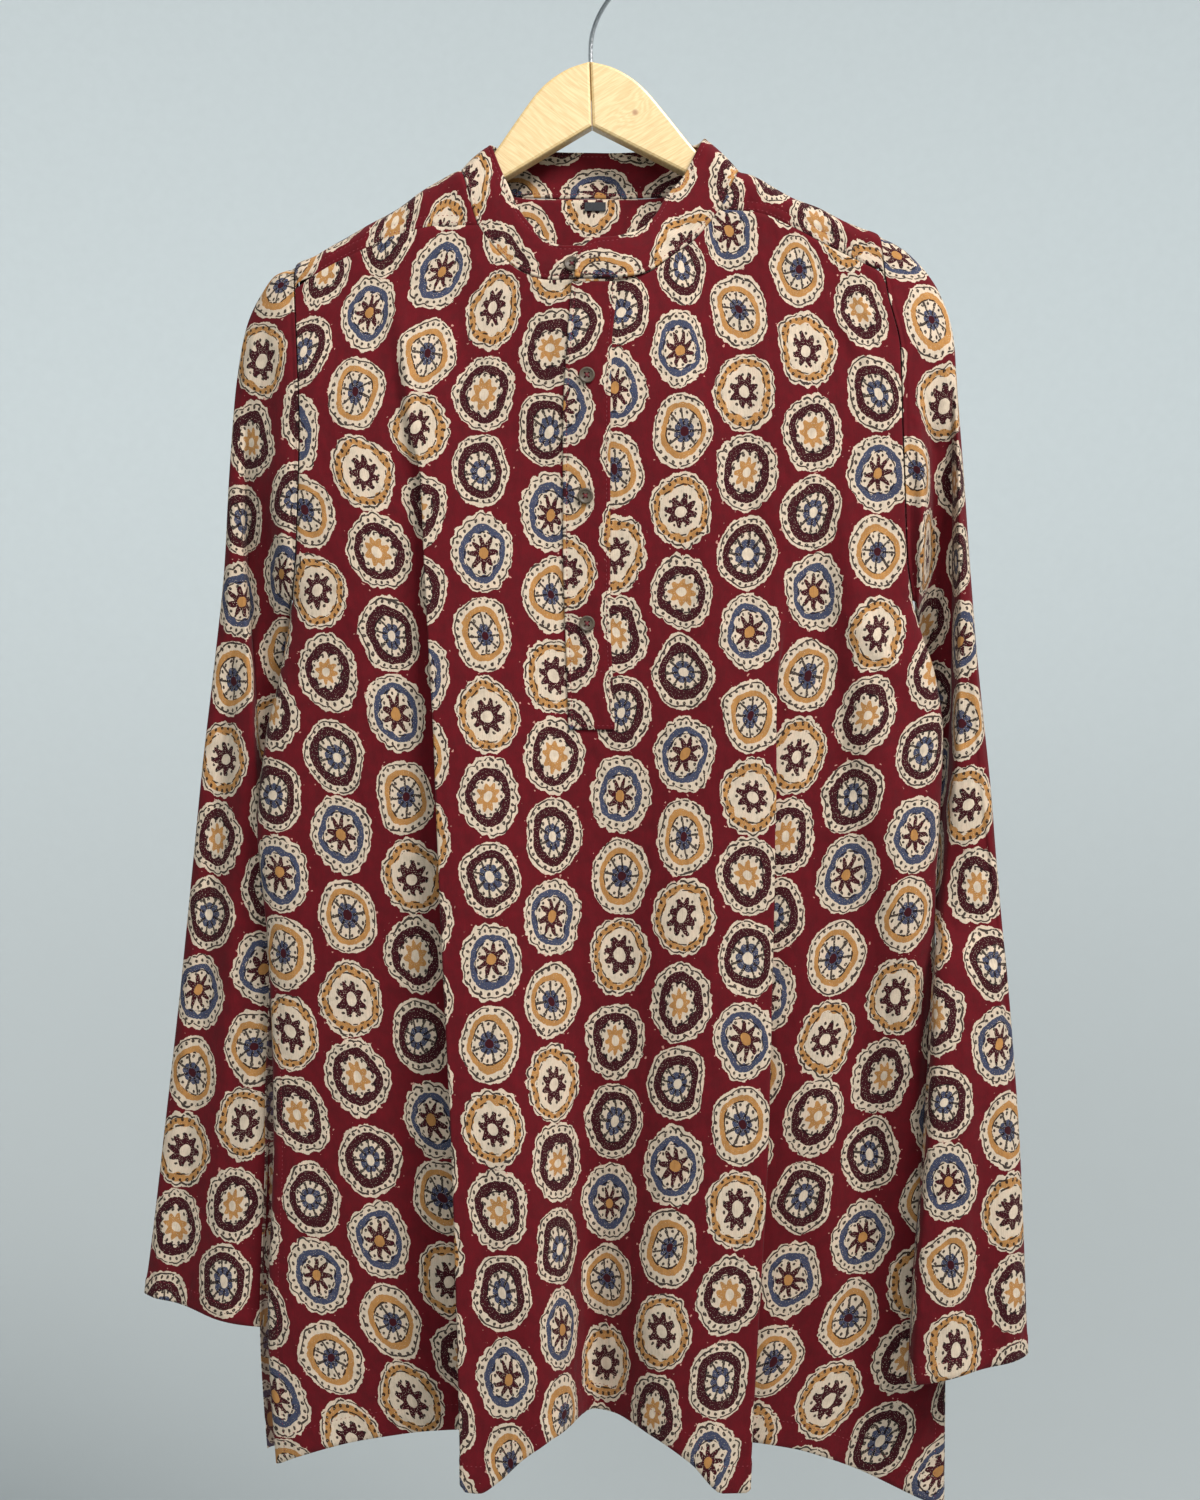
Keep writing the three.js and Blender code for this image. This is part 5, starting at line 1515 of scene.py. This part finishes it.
# ---------------------------------------------------------------- build
thread = thread_material("thread", srgb(96, 18, 30), srgb(140, 40, 52))
horn = button_material()
make_front()
make_back()
make_yoke()
make_lining()
make_collar()
make_sleeve("left")
make_sleeve("right")
make_placket("placket_over", PLACKET_OUT)
make_placket("placket_under", -PLACKET_OUT)
for name, (x, z) in BUTTON_PLACES.items():
    make_button(name, button_seat(x, z), surface_normal(button_seat, x, z))
low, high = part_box("button_collar")
make_button("button_collar", np.array((low + high) / 2) / MM, (0.0, -0.97, 0.22))

# the CAD solids that keep their shape: each one's material, and from what angle an edge is sharp
for node, material, sharp in (
    ("hanger_left", wood_material("wood_left", -38), 32),
    ("hanger_right", wood_material("wood_right", 30, (28.5, -6.0, -110.0)), 32),
    ("hanger_hook", steel_material(), 50),
    ("neck_label", label_material(), None),
):
    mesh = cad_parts[node].data
    mesh.materials.clear()
    mesh.materials.append(material)
    if sharp:
        mesh.shade_smooth()
        mesh.set_sharp_from_angle(angle=math.radians(sharp))

dark_thread = thread_material("thread_dark", srgb(38, 14, 16), srgb(58, 22, 24))
for name, sewn, colour in (
    ("stitching", seam_thread, thread),
    ("buttonhole_stitching", buttonhole_thread, dark_thread),
):
    finish(make_mesh(name, np.concatenate(sewn.points), sewn.faces + sewn.caps), colour, None)


# ---------------------------------------------------------------- stage and light
FLOOR_Z = -1.45
SWEEP = 1.6
FLAT_FLOOR = 1.0
WALL_TOP = 3.2
STAGE_MIDDLE_Y = -0.3


def make_stage():
    """A plain pale floor that sweeps up into a pale backdrop all round, with painted shade: its
    colour darkens towards the floor.
    """
    sweep = [
        (FLAT_FLOOR + SWEEP * math.sin(turn), FLOOR_Z + SWEEP * (1 - math.cos(turn)))
        for turn in np.linspace(0.0, math.pi / 2, 15)
    ]
    profile = [(0, FLOOR_Z), (0.5, FLOOR_Z), *sweep, (FLAT_FLOOR + SWEEP, WALL_TOP)]
    points, faces = lathe(profile, 64)
    stage = make_mesh("stage", (points + (0, STAGE_MIDDLE_Y, 0)) / MM, faces)
    w = Wire("stage_paint_with_painted_shade")
    place = w.place()
    grain = w.noise(place, 60)
    pale = w.mix(grain, srgb(217, 224, 226), srgb(222, 229, 231))
    # painted shade: the colour is mixed darker lower down, standing in for the light falling off
    # towards the floor
    low = w.range(w.split(place)[2], FLOOR_Z, 0.2, 1, 0, "SMOOTHSTEP")
    w.put(w.shader.inputs["Base Color"], w.mix(low, pale, srgb(186, 191, 192)))
    w.put(w.shader.inputs["Roughness"], w.range(grain, 0, 1, 0.85, 0.95))
    stage.data.materials.append(w.material)


def area_light(name, place, aim, size, power, colour):
    light = bpy.data.objects.new(name, bpy.data.lights.new(name, "AREA"))
    light.data.shape = "RECTANGLE"
    light.data.size, light.data.size_y = size
    light.data.energy = power
    light.data.spread = math.radians(140)
    light.data.color = colour
    light.location = place
    light.rotation_euler = (Vector(aim) - Vector(place)).to_track_quat("-Z", "Y").to_euler()
    scene.collection.objects.link(light)


make_stage()
scene.world = bpy.data.worlds.new("room")
scene.world.use_nodes = True
background = scene.world.node_tree.nodes["Background"].inputs
background["Color"].default_value = (0.86, 0.9, 0.92, 1)
background["Strength"].default_value = 0.22
area_light("key", (1.3, -1.45, 1.5), (0.1, 0, 0.0), (1.1, 0.9), 60, (1, 0.99, 0.97))
area_light("front", (-0.3, -2.5, 0.8), (0, 0, -0.3), (1.4, 1.4), 13, (0.98, 0.99, 1))
scene.view_settings.view_transform = "Standard"
